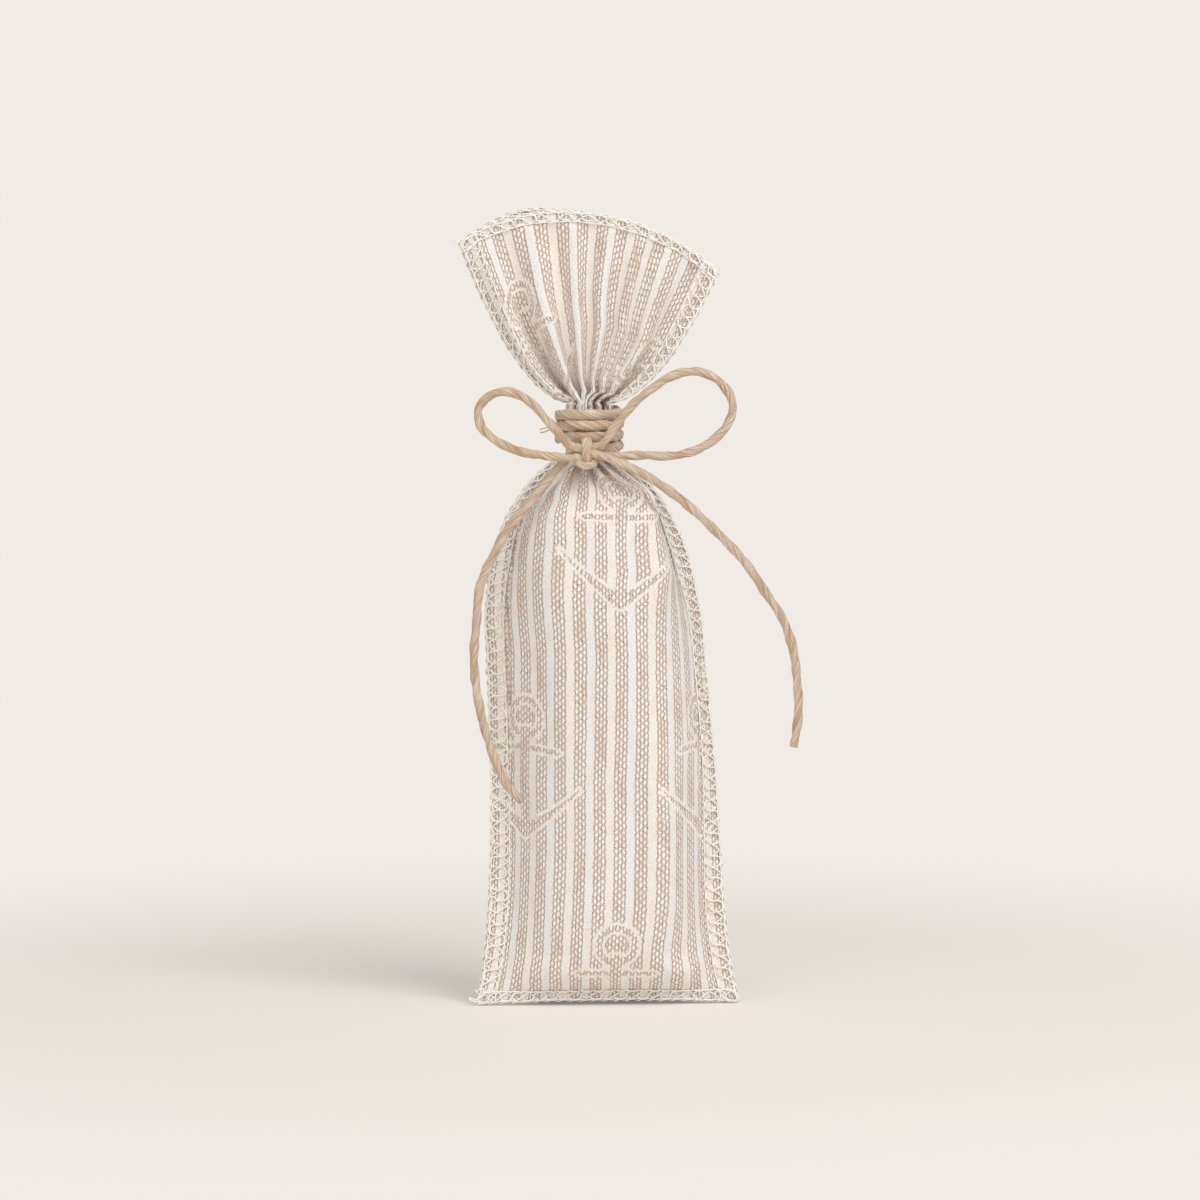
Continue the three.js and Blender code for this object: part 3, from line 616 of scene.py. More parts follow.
def belly_slopes(depth, width, turns):
    """The slope of the belly at each column, for a row of that depth and seam-to-seam width. Where
    the cloth is wider than the row, its slopes are drawn in and stand steeper."""
    allowances = flange * sum(math.cos(turn) for turn in turns)

    def row_at(drawn):
        runs = (left_slope_run * (1 - drawn), right_slope_run * (1 - drawn))
        rises = (depth * (1 - plateau_rise), depth)
        angles = [np.interp(rise / run, mean_sine, steepest) for rise, run in zip(rises, runs)]
        level = 2 * stitch - sum(runs)
        lean = math.asin(min(0.5, depth * plateau_rise / level))
        reach = allowances + level * math.cos(lean)
        reach += sum(run * np.interp(angle, steepest, mean_cosine) for run, angle in zip(runs, angles))
        return runs, angles, lean, reach

    steep_already = 1 - depth / (right_slope_run * mean_sine[-1])
    most = min(1 - tightest_slope_run, max(0, steep_already))
    drawn = bisected(0, most, lambda share: row_at(share)[3] > width)
    runs, angles, lean, _ = row_at(drawn)
    from_left = np.clip((along + stitch) / runs[0], 0, 1)
    from_right = np.clip((stitch - along) / runs[1], 0, 1)
    slopes = np.where(from_left < 1, angles[0] * (1 - from_left**slope_fullness), lean)
    slopes = np.where(from_right < 1, -angles[1] * (1 - from_right**slope_fullness), slopes)
    return np.where(beyond_stitch > 0, 0, slopes)


def hump(place, wide):
    """1 at one place across the cloth, fading on both sides."""
    return np.exp(-(((along - place) / wide) ** 2))


def fold_weights(least, *places):
    return least + sum(share * hump(place, wide) for place, wide, share in places)


def pleat_weights(height, opened):
    """How strongly the cloth is folded, across its width. The folds of the fan lie mostly up its
    middle and beside the left seam, and those of the shoulder at the right."""
    fan, shoulder = (fold_weights(*folds) for folds in (fan_folds, shoulder_folds))
    return fan if opened else mix(shoulder, 2 * fan, ease(height, neck_weights_from, neck_foot))


def pleat_wave(along, sharpness):
    """The slope of the gathered cloth: up from each valley to the next ridge, and down again."""
    marks = sorted([(at, 1) for at in pleat_ridges] + [(at, -1) for at in pleat_valleys])
    marks = [(-cloth_width / 2, -1), *marks, (cloth_width / 2, 1)]
    wave = np.zeros_like(along)
    for (start, kind), (end, _) in zip(marks, marks[1:]):
        t = (along - start) / (end - start)
        inside = (t >= 0) & (t < 1)
        wave[inside] = -kind * np.sin(math.pi * t[inside]) ** sharpness
    return wave


def running(values, spacing):
    """The sum of the values up to each place, from 0."""
    return np.append(0, np.cumsum((values[1:] + values[:-1]) / 2 * spacing))


def smoothed(values, spacing, reach):
    """The values averaged over a soft window."""
    count = int(3 * reach / spacing)
    window = np.exp(-0.5 * (np.arange(-count, count + 1) * spacing / reach) ** 2)
    padded = np.pad(values, count, mode="edge")
    return np.convolve(padded, window / window.sum(), mode="valid")


# The cloth's rows, each given by the height of its seam and how far up the fan it is, from 0 to 1
row_step = 1.05
first_shoulder_step, first_fan_row = 0.9, 0.01
body_row_count, shoulder_row_count, fan_row_count = 90, 80, 100
body_rows = [cloth_edge + row_step * k for k in range(body_row_count)]
shoulder_rows = list(np.linspace(body_rows[-1] + first_shoulder_step, neck_top, shoulder_row_count))
fan_rows = list(np.linspace(first_fan_row, 1, fan_row_count))
cloth_rows = [(height, 0) for height in body_rows + shoulder_rows] + [(neck_top, t) for t in fan_rows]


def fan_edge_rises():
    """How far up the fan its slanting edge is, for even steps of length along that edge."""
    rise = np.linspace(0, 1, 400) ** edge_bunching
    wide = half_width(neck_top + rise * fan_rise)
    run = np.append(0, np.cumsum(np.hypot(np.diff(wide), np.diff(rise) * fan_rise)))
    return run / run[-1], rise


edge_run, edge_rise = fan_edge_rises()


def heel_line():
    """The back panel's way from the bottom seam down to the floor, back and up, as (back, up). Its
    places under the floor are flattened on it later."""
    back = belly_depth["back"] + foot_forward + float(seam_forward(bottom_flange + belly_rise))
    points = [
        (0, bottom_flange, 0), (0.07 * back, 1.25 * bottom_flange, 0), (0.15 * back, 0.95 * bottom_flange, 0),
        (0.21 * back, 0.2 * bottom_flange, 0), (0.32 * back, -0.2 * belly_rise, 0),
        (0.6 * back, -0.22 * belly_rise, 0), (0.83 * back, -0.05 * belly_rise, 0),
        (0.95 * back, 0.17 * belly_rise, 0), (0.99 * back, 0.5 * belly_rise, 0),
        (back, bottom_flange + belly_rise, 0),
    ]
    return smooth_line(points, 0.2)


heel = heel_line()


def cloth_wrinkles(height, seed):
    """Shallow dents and soft folds, as a height out of the cloth along one row."""
    rng = np.random.default_rng(seed)
    total = np.zeros_like(along)
    for size, deep in wrinkle_sizes:
        for _ in range(wrinkles_of_each):
            turn = rng.uniform(-wrinkle_turn, wrinkle_turn)
            wave = along * math.cos(turn) + height * wrinkle_climb * math.sin(turn)
            total += deep * np.sin(2 * math.pi * wave / size + rng.uniform(0, 2 * math.pi)) / 2
    return total


def folded(level_share, width, height, opened):
    """The share of level width that each bit of cloth keeps in its row, and the folds' ripple.
    Pleats take up the spare width near the neck, and fine gathers take up the rest."""
    natural = level_share.sum() * spacing
    spare = max(0.0, 1 - width / natural)
    taken = 1.0 if opened else float(ease(height, pleats_from, pleats_full))
    near_neck = ease(height, neck_folds_from, neck_foot) * (1 - ease(opened, 0.0, neck_folds_opened))
    near_neck = float(near_neck)
    weights = pleat_weights(height, opened)
    most = mix(*steepest_fold, near_neck)
    shape = pleat_wave(along, mix(*fold_sharpness, near_neck))
    target = natural * (1 - spare * taken)

    def angles(strength):
        return most * np.tanh(strength * weights / most) * shape

    def still_wide(strength):
        return (np.cos(angles(strength)) * level_share).sum() * spacing > target

    strength = bisected(0, strongest_fold, still_wide)
    if spare * taken == 0:
        strength = 0.0
    kept = np.cos(angles(strength)) * level_share
    ease_in = 1 - width / max(kept.sum() * spacing, 1e-6)
    if ease_in > 0:
        kept = kept * (1 - np.clip(ease_in * weights / weights.mean(), 0, most_gathered))
    ripple = running(np.sin(angles(strength)), spacing)
    ripple -= smoothed(ripple, spacing, ripple_level_reach)
    return kept, ripple


# Hollows pressed into the front, each from one place to another in x and z, with its width and
# depth: under the knot, down to the left from it, and the valleys that open from the winding upwards
front_hollows = [
    ((-5.6, 127.5), (-3.4, 123.5), 2.0, 1.5),
    ((-5.6, 126.5), (-16.0, 113.5), 2.6, 0.9),
    ((3.4, 127.5), (9.0, 121.5), 1.8, 0.6),
    ((-7.2, 141.5), (-18.0, 163.0), 1.9, 2.7),
    ((-4.9, 140.5), (-6.0, 151.0), 1.1, 1.8),
    ((-0.4, 140.5), (-0.2, 148.0), 0.9, 1.3),
]
hollow_fade = 0.5


def hollow(x, z):
    """How deep the front is pressed in at each point of a row."""
    deepest = np.zeros_like(x)
    for (x0, z0), (x1, z1), wide, deep in front_hollows:
        run = np.array([x1 - x0, z1 - z0])
        t = np.clip(((x - x0) * run[0] + (z - z0) * run[1]) / run.dot(run), 0, 1)
        apart = np.hypot(x - x0 - t * run[0], z - z0 - t * run[1])
        deepest = np.maximum(deepest, deep * (1 - hollow_fade * t) * np.exp(-((apart / wide) ** 2)))
    return deepest


def seam_puckers(height, seed):
    """Short dents that the seam's stitches draw into the cloth beside it."""
    near = np.exp(-np.maximum(0, stitch - np.abs(along)) / pucker_reach)
    left, right = (
        slow_noise(np.array([height]), length, seed + k)[0] for k, length in enumerate(pucker_lengths)
    )
    return pucker_depth * near * np.where(along < 0, left, right)


def left_crease(height):
    """The front rolls over beside its left seam, which leaves a sharp groove up to the shoulder."""
    groove = crease_depth * hump(-stitch - crease_out, crease_half)
    return groove * ease(height, *crease_from) * (1 - ease(height, *crease_until))


def cloth_row(side, height, opened):
    """Points of a panel's outer face along one row. height is that of the side seam, and opened
    runs from 0 at the neck to 1 at the top hem."""
    sign = -1 if side == "front" else 1
    across = np.linspace(-1, 1, 401)
    rise = mix(opened, np.interp(opened, edge_run, edge_rise), across**2)
    level = np.maximum(height, neck_top + rise * fan_rise) if opened else np.full_like(across, height)
    line_x = middle(height) + across * (half_width(level) - cloth_edge * slant(level))
    line_z = height + hem_lift * (1 - across**2) * math.exp(-height / hem_lift_reach)
    if opened:
        line_z = neck_top + rise * (crown_at(across) - cloth_edge - neck_top)
        if side == "back":
            bump = np.exp(-(((across - back_hem_place) / back_hem_wide) ** 2))
            line_z = line_z + back_hem_rise * opened**2 * bump
    run_out = np.append(0, np.cumsum(np.hypot(np.diff(line_x), np.diff(line_z))))

    low = (height - bottom_flange) / belly_rise
    on_heel = side == "back" and low < 1
    full = float(bulge(neck_top + opened * fan_height if opened else height, belly_depth[side]))
    depth = full * rounded(1 - low, *foot_round) if side == "front" else full
    if on_heel:
        share = np.linspace(0, 1, len(heel))
        heel_back, heel_up = (float(np.interp(np.clip(low, 0, 1), share, heel[:, k])) for k in (0, 1))
        reach = seam_forward(bottom_flange) + heel_back
        depth = reach - seam_forward(height)
    depth = max(float(depth), cloth_thickness)

    turns = flange_turns(height)
    slopes = belly_slopes(depth, run_out[-1], turns)
    outward = running(np.sin(slopes), spacing)
    outward -= outward[-1] * np.clip((along + stitch) / (2 * stitch), 0, 1)
    profile = np.clip(outward / max(outward.max(), 1e-6), 0, 1)

    turn = np.where(along < 0, turns[0], turns[1])
    level_share = np.cos(np.where(beyond_stitch > 0, turn, slopes))
    kept, ripple = folded(level_share, run_out[-1], height, opened)
    advance = running(kept, spacing)
    drawn_in = run_out[-1] / advance[-1]
    x = np.interp(advance * drawn_in, run_out, line_x)
    z = np.interp(advance * drawn_in, run_out, line_z)

    together = ease(height, neck_joined_from, neck_foot)
    ripple = ripple * mix(ease(stitch - np.abs(along), 0, ripple_seam_fade), 1, together)
    apart = 1 - ease(opened * fan_height, 0, fan_opening)
    pressed_in = mix(0, ripple.max() if side == "front" else -ripple.min(), apart) * profile
    folds = -sign * ripple - pressed_in
    if not opened:
        soft = profile * ease(height, *wrinkles_from[side]) * (1 - ease(height, *wrinkles_until))
        folds = folds + soft * cloth_wrinkles(height, 3 if side == "front" else 4)
        puckers = seam_puckers(height, 5 if side == "front" else 7)
        folds = folds + puckers * ease(height, *puckers_from) * (1 - together)
    if side == "front":
        folds = folds - left_crease(height) - hollow(x, z) * (1 if opened else 1 - together)

    skin = seam_gap + cloth_thickness
    offset_turn = turn * ease(beyond_stitch, 0, flange_turn_round) * np.sign(along)
    back = beyond_stitch * np.sin(turn) * min(most_turned_back, drawn_in * kept[0] / level_share[0])
    seam = (0.0 if opened else seam_forward(height)) + back
    x = x - np.sin(slopes) * folds * (1 - together) - sign * skin * np.sin(offset_turn)
    raised = profile * depth + mix(np.cos(slopes), 1, together) * folds
    y = seam + sign * (skin * np.cos(offset_turn) + raised)
    if on_heel:
        bent = profile if low > 0 else 0.0
        y = mix(seam, np.maximum(reach, seam), bent) + skin * np.cos(offset_turn)
        z = np.maximum(mix(z, heel_up + z - height, bent), 0)
    return np.column_stack([x, y, z])


def cloth_lengths(grid):
    """Each point's distance from the bottom edge, measured up the cloth."""
    steps = np.linalg.norm(np.diff(grid, axis=0), axis=2)
    steps = np.array([smoothed(row, spacing, length_blend) for row in steps])
    return np.vstack([np.zeros(grid.shape[1]), np.cumsum(steps, axis=0)])


# Woven figure: an anchor in brown weave with a thin pale outline, in a half-drop repeat. Across it is
# measured from the shank, and up from the stock.
anchor_middle = 2.17
anchor_spread = 23.3
anchor_repeat = 107.5
anchor_start = 9.6
anchor_drop = 51.4
anchor_centre = 4.75
ring_up, ring_radius, ring_half = 7.1, 4.2, 0.75
disc_radius, disc_gap = 2.8, 0.65
shank_half, shank_reach, shank_below = 1.25, 12.4, 7.5
stock_half, stock_reach, stock_square, stock_taper = 0.6, 9.7, 8.4, 0.5
arms_reach, arms_slant = 13.8, 0.76
arms_top = {"curve": 1.35, "rise": 9.6, "below": 17.6}
arms_bottom = {"curve": 1.15, "rise": 12.9, "below": 21.4}
outline_edge = (0.80, 0.62)
figure_blur = 0.08
right_detour = 11.0
detour_across, detour_up = (8, 22), (115, 140)
length_blend, drift_blend = 4.0, 2.5

# The cloth is gathered askew, so the weave drifts sideways on the front: by how many millimetres, at
# some heights up the seam and places across the cloth
drift_heights = (5, 53, 83, 109, 115, 121, 126, 130.4, 150, 168)
drift_places = (-30.5, -26.5, -18, -9, 0, 9, 18, 26.5, 30.5)
weave_drift = (
    (0.3, 2.0, 1.6, 1.4, 1.3, 1.3, 0.3, -1.2, -0.2),
    (0.3, 2.2, 1.0, 0.5, 0.9, 0.6, -0.5, -1.8, -0.5),
    (0.0, 0.0, -0.6, -1.2, -1.6, -1.5, -3.2, -4.2, -3.5),
    (1.2, 2.2, 0.1, -1.5, -2.1, -2.5, -4.6, -6.0, -5.0),
    (2.0, 2.9, 1.0, -0.6, -1.9, -3.4, -5.2, -6.5, -5.5),
    (2.5, 3.0, 2.2, -0.2, -1.7, -4.3, -5.6, -6.8, -5.8),
    (3.5, 4.2, 3.2, -0.6, -4.0, -6.0, -6.8, -6.8, -5.8),
    (0.0,) * 9,
    (0.0,) * 9,
    (0.4, 1.8, 1.6, 0.0, 0.0, 0.0, 0.0, 0.0, 0.0),
)


def way_up(u, lengths):
    """The weave's own place up the cloth. The front's right side takes a longer way into the neck."""
    return lengths + right_detour * ease(u, *detour_across) * ease(lengths, *detour_up)


def drifted(height):
    """The weave's own place across the cloth at each column of a row."""
    drift = [np.interp(height, drift_heights, column) for column in zip(*weave_drift)]
    return along + smoothed(np.interp(along, drift_places, drift), spacing, drift_blend)


cotton_white = srgb(251, 246, 238)
cotton_blue = srgb(246, 245, 244)
cotton_warm = srgb(250, 236, 228)
yarn_light = srgb(255, 249, 243)
yarn_brown = srgb(224, 209, 200)
yarn_dark = srgb(100, 84, 78)
blotch_pink = srgb(226, 188, 178)
blotch_tan = srgb(204, 174, 138)
stripe_period = 4.66
stripe_first = 1.3
stripe_half = 1.44
stripe_blur = 0.12
yarn_spacing = 0.81
pick_repeat = 1.55
yarn_weave = 0.16
line_half = 0.19
float_half = 0.42

cotton = Shader("striped_cotton", 0.92)
cloth_place = cotton.attribute("cloth")
split = cotton.node("ShaderNodeSeparateXYZ", {0: cloth_place})
uneven = cotton.noise(cloth_place, 0.55) - 0.5
uneven_up = cotton.noise(cotton.stretch(cloth_place, (1.3, 0.9, 0)), 0.7) - 0.5
fine = cotton.noise(cloth_place, 1.5, 1.0) - 0.5
u = uneven * 0.5 + split.outputs[0] + fine * 0.42
v = uneven_up * 0.9 + split.outputs[1] + fine * 0.8


def larger(first, second):
    return cotton.math("MAXIMUM", first, second)


def smaller(first, second):
    return cotton.math("MINIMUM", first, second)


def cosine(turns):
    return cotton.math("COSINE", turns * (2 * math.pi))


def anchor_distance(across, up):
    """Distance outside an anchor's brown shapes, negative inside."""
    side = abs(across)
    over_ring = up - ring_up
    ring = cotton.math("SQRT", across * across + over_ring * over_ring)
    band = abs(ring - ring_radius) - ring_half
    shank = larger(side - shank_half, abs(up + shank_below) - shank_reach)
    disc = larger(ring - disc_radius, disc_gap - shank)
    taper = larger(side - stock_square, 0.0) * stock_taper
    stock = larger(abs(up) + taper - stock_half, side - stock_reach)
    out = smaller(side / arms_reach, 1.0)
    upper, lower = (out ** arm["curve"] * arm["rise"] - arm["below"] for arm in (arms_top, arms_bottom))
    arms = larger(larger(up - upper, lower - up) * arms_slant, side - arms_reach)
    least = band
    for shape in (shank, disc, stock, arms):
        least = smaller(least, shape)
    return least


def wrapped(value, period):
    """The distance to the nearest whole number of periods."""
    return value - round(value / period) * period


figures = []
for column in (0, 1):
    across = u - (anchor_middle + column * anchor_spread)
    up = v - (anchor_start + column * anchor_drop - anchor_centre)
    up = wrapped(up, anchor_repeat) - anchor_centre
    figures.append(anchor_distance(wrapped(across, 2 * anchor_spread), up))
figure = smaller(*figures)

# Brown stripes and the figure's brown are woven of light yarns that float between dark ones
stripe = (u + (cloth_width / 2 - stripe_first)) / stripe_period
stripe_number = round(stripe)
off_stripe = (stripe - stripe_number) * stripe_period
in_stripe = cotton.ramp(abs(off_stripe), stripe_half + stripe_blur, stripe_half - stripe_blur)
inside = cotton.ramp(figure, figure_blur, -figure_blur)
outline = cotton.ramp(figure, *outline_edge) * (1 - inside)
brown = larger(in_stripe, inside) * (1 - outline)
yarn = off_stripe / yarn_spacing
yarn_number = round(yarn)
yarn_off = yarn - yarn_number
odd = (yarn_number + stripe_number) % 2
pick = v / pick_repeat + odd * 0.5
pick_off = pick - round(pick)
yarn_edge = cosine(pick_off) * yarn_weave + 0.5
line = cotton.ramp(abs(abs(yarn_off) - yarn_edge), line_half, 0.2 * line_half)
beads = cosine(pick_off * 2) * -0.46 + 0.54
speckle = cotton.noise(cloth_place, 2.6, 1.0)
faded = cotton.noise(cloth_place, 0.16)
dark = line * beads * cotton.ramp(speckle, 0.22, 0.64) * (faded * 0.9 + 0.55)
oval = (yarn_off / float_half) ** 2 + (pick_off / float_half) ** 2
float_yarn = cotton.ramp(oval, 1.1, 0.3)

# The pale stripes are white and blue-white in turn. Both colours are blotched along the yarns.
blue_turn = cotton.math("FLOOR", stripe) % 2
tinged = cotton.noise(cotton.stretch(cloth_place, (1.6, 0.8, 0)), 0.22)
pale = cotton.mix(blue_turn * (1 - outline), cotton_white, cotton_blue)
pale = cotton.mix(cotton.ramp(tinged, 0.48, 0.66) * 0.7, pale, cotton_warm)
pale = cotton.mix(cotton.ramp(speckle, 0.46, 0.72) * 0.17, pale, yarn_dark)
woven = cotton.mix(float_yarn, yarn_brown, yarn_light)
woven = cotton.mix(dark, woven, yarn_dark)
tan = cotton.noise(cotton.stretch(cloth_place, (1.0, 0.45, 0)), 0.24)
woven = cotton.mix(cotton.ramp(tan, 0.48, 0.68) * 0.30, woven, blotch_tan)
rosy = cotton.noise(cotton.stretch(cloth_place, (0.9, 0.4, 0)), 0.33)
woven = cotton.mix(cotton.ramp(rosy, 0.52, 0.72) * 0.26, woven, blotch_pink)
relief = (float_yarn * 0.7 - line) * (brown * 0.75 + 0.25) + speckle * 1.1
cotton.finish(cotton.mix(brown, pale, woven), relief, depth=0.00015, strength=0.8)
cotton.skin.inputs["Specular IOR Level"].default_value = 0.2
cotton.skin.inputs["Sheen Weight"].default_value = 0.25


def grid_faces(shape, start, flip):
    """The faces of a grid of points, which are numbered from start."""
    rows, wide = shape
    faces = []
    for low in range(start, start + (rows - 1) * wide, wide):
        high = low + wide
        faces += [(low + j, low + j + 1, high + j + 1, high + j) for j in range(wide - 1)]
    return [face[::-1] for face in faces] if flip else faces


def cloth_panel(side, name, node):
    """One panel as a closed sheet of cloth, its outer face on the rows' points, which it returns."""
    grid = np.array([cloth_row(side, height, opened) for height, opened in cloth_rows])
    lengths = cloth_lengths(grid)
    climbs = [height + opened * fan_height for height, opened in cloth_rows]
    u_mm = np.array([drifted(climb) if side == "front" else along for climb in climbs])
    v_mm = way_up(u_mm, lengths) if side == "front" else lengths
    place = np.stack([u_mm, v_mm, 0 * u_mm], axis=2)
    faces = grid_faces(u_mm.shape, 0, flip=side == "back")
    panel = new_piece(name, grid.reshape(-1, 3), faces, {"cloth": place.reshape(-1, 3)})
    thick = panel.modifiers.new("thickness", "SOLIDIFY")
    thick.thickness = cloth_thickness * metres
    thick.offset = -1
    fitted(panel, cotton, node)
    print(name, "length, mm:", [round(lengths[-1, j], 1) for j in (0, columns // 2, columns - 1)])
    return grid


front_grid = cloth_panel("front", "front_cloth", "front_panel")
back_grid = cloth_panel("back", "back_cloth", "back_panel")


# The overlocks: spun cotton thread sewn over the raw edges. A needle thread runs in a straight line
# inside the edge. Between it and the rim two looper threads cross at every stitch, so that the cloth
# shows through in a row of small windows, and two more threads lie along the rim.
thread_diameter = 0.40
thread_sides = 6
thread_step = 0.26
plies_per_step = 1.6
stitch_pitch = 2.7
loop_swing = 0.13
stitch_unevenness = 0.14
steps_per_stitch = 28
needle_gap = 0.25
rim_inset = 0.3
needle_inset = 3.8
hem_needle_inset = 2.2

# Each thread's height over the cloth in thread radii, how square its turns are, how far it sways
# from its line and how much of the stitches' unevenness it takes up
looper_lift, looper_cross, looper_square = 1.5, 0.9, 0.7
needle_lift, needle_sunk, needle_square, needle_sway = 2.2, 0.1, 0.35, 0.05
border_lift, border_out, border_sway, border_uneven = 1.2, 0.08, 0.12, 0.5
rim_swing, rim_out, rim_sway, rim_uneven = 0.6, 0.16, 0.10, 0.4

thread_colour = srgb(255, 254, 248)
thread_shadow = srgb(250, 241, 231)

spun = Shader("overlock_thread", 0.85)
ply = spun.attribute("ply")
twist = spun.node("ShaderNodeTexWave", {"Vector": ply, "Scale": 1.0, "Distortion": 0.6}, bands_direction="X")
strand_tone = spun.noise(spun.stretch(ply, (0.4, 0, 0.3)), 1.0)
colour = spun.mix(spun.ramp(strand_tone, 0.62, 0.35) * 0.5, thread_colour, thread_shadow)
spun.finish(colour, twist.outputs["Fac"], depth=0.00004, strength=0.4)
spun.skin.inputs["Specular IOR Level"].default_value = 0.25
spun.skin.inputs["Sheen Weight"].default_value = 0.4


def on_grid(grid, row, column):
    """Points of a grid at fractional rows and columns, also a little past its edges."""
    i = np.clip(np.floor(row).astype(int), 0, grid.shape[0] - 2)
    j = np.clip(np.floor(column).astype(int), 0, grid.shape[1] - 2)
    a = (row - i)[:, None]
    b = (column - j)[:, None]
    low = grid[i, j] * (1 - b) + grid[i, j + 1] * b
    high = grid[i + 1, j] * (1 - b) + grid[i + 1, j + 1] * b
    return low * (1 - a) + high * a


def grid_normals(grid):
    """Unit normals that point towards the front."""
    up = np.gradient(grid, axis=0)
    across = np.gradient(grid, axis=1)
    normals = np.cross(across, up)
    return normals / np.maximum(np.linalg.norm(normals, axis=2), 1e-9)[:, :, None]


def even_line(points, step):
    """Even points along a line, its ends among them."""
    run = run_along(points)
    stations = np.linspace(0, run[-1], max(2, round(run[-1] / step)))
    return np.column_stack([np.interp(stations, run, points[:, k]) for k in range(3)])


def thread_piece(name, paths):
    """One mesh of round threads along several paths."""
    strands = []
    points_before = 0
    around = np.linspace(0, 2 * math.pi, thread_sides, endpoint=False)
    for path in paths:
        line = even_line(path, thread_step)
        forward = np.gradient(line, axis=0)
        forward /= np.maximum(np.linalg.norm(forward, axis=1), 1e-9)[:, None]
        side = np.cross(forward[0], [0.2, 0.5, 0.8])
        rings = []
        for ahead, point in zip(forward, line):
            side = side - ahead * side.dot(ahead)
            side /= np.linalg.norm(side)
            spokes = np.outer(np.cos(around), side) + np.outer(np.sin(around), np.cross(ahead, side))
            rings.append(point + thread_diameter / 2 * spokes)
        run = np.arange(len(line))[:, None] * thread_step * plies_per_step + around / math.pi
        plies = np.stack([run, 0 * run, 0 * run + points_before * 0.01], axis=2)
        strands.append((np.array(rings), plies))
        points_before += len(line) * thread_sides
    return tube_piece(name, strands, "ply", drawn_in=0.5)


class Edge:
    """A cloth edge to sew over: places on it are given by the distance along the edge, the distance
    in from it, and a side from -1 on the back face to 1 on the front face."""

    def __init__(self, front_face, back_face, along_rows, start):
        self.faces = (back_face, front_face)
        self.normals = (grid_normals(back_face), grid_normals(front_face))
        self.along_rows = along_rows
        self.start = start
        lines = front_face.swapaxes(0, 1) if along_rows else front_face
        self.run = run_along(lines[start])
        third_in = lines[start + (3 if start == 0 else -3)]
        self.inset = np.linalg.norm(third_in - lines[start], axis=1).mean() / 3

    def place(self, run, inward, side, lift):
        """Points lifted off the cloth at places given along the edge, in from it and by side."""
        at = np.interp(run, self.run, np.arange(len(self.run)))
        depth = inward / self.inset
        if self.start:
            depth = self.start % (self.faces[0].shape[1 if self.along_rows else 0]) - depth
        row, column = (at, depth) if self.along_rows else (depth, at)
        back_point, front_point = (on_grid(face, row, column) for face in self.faces)
        back_out, front_out = (on_grid(normal, row, column) for normal in self.normals)
        front_point = front_point + front_out * lift[:, None]
        back_point = back_point - back_out * lift[:, None]
        share = ((side + 1) / 2)[:, None]
        return back_point * (1 - share) + front_point * share


def overlock(name, node, edge, inset, loose_ends=()):
    """All the threads of one overlocked edge, as one piece."""
    length = edge.run[-1]
    count = round(length / stitch_pitch)
    pitch = length / count
    t = np.linspace(0, count, count * steps_per_stitch + 1)
    radius = thread_diameter / 2
    rng = np.random.default_rng(len(name))
    paths = []
    stitches = np.arange(count + 1)
    for face in (1, -1):
        for sense in (1, -1):
            uneven, sway = (
                np.interp(t, stitches, rng.normal(0, stitch_unevenness, count + 1)) for _ in range(2)
            )
            wave = sense * np.sin(math.pi * t)
            share = 0.5 + 0.5 * np.sign(wave) * np.abs(wave) ** looper_square
            inward = rim_inset + (inset - needle_gap - rim_inset) * share + uneven
            run = pitch * (t + loop_swing * sense * np.sin(2 * math.pi * t)) + sway
            lift = radius * (looper_lift + looper_cross * sense * np.cos(math.pi * t))
            paths.append(edge.place(run, inward, np.full_like(t, face), lift))
        on_face = np.full_like(t, face)
        lift = radius * (needle_lift * np.abs(np.sin(math.pi * t)) ** needle_square - needle_sunk)
        needle = inset + needle_sway * np.sin(2 * math.pi * t)
        paths.append(edge.place(t * pitch, needle, on_face, lift))
        border = rim_inset - border_out + border_sway * np.sin(2 * math.pi * t + face)
        border += border_uneven * uneven
        paths.append(edge.place(t * pitch, border, on_face, np.full_like(t, border_lift * radius)))
    rim = rim_swing * np.sin(2 * math.pi * t)
    bumps = -rim_out - rim_sway * np.cos(2 * math.pi * t) + rim_uneven * uneven
    paths.append(edge.place(t * pitch, bumps, rim, np.full_like(t, radius)))
    for run, curl in loose_ends:
        root = edge.place(np.array([run]), np.array([0.25]), np.array([0.5]), np.array([radius]))
        paths.append(root + smooth_line(curl, thread_step))
    fitted(thread_piece(name, paths), spun, node)


last_column = columns - 1
last_row = len(cloth_rows) - 1
left_edge = Edge(front_grid, back_grid, True, 0)
right_edge = Edge(front_grid, back_grid, True, last_column)
bottom_edge = Edge(front_grid, back_grid, False, 0)
front_inner = front_grid - grid_normals(front_grid) * cloth_thickness
back_inner = back_grid + grid_normals(back_grid) * cloth_thickness
front_top = Edge(front_grid, front_inner, False, last_row)
back_top = Edge(back_inner, back_grid, False, last_row)

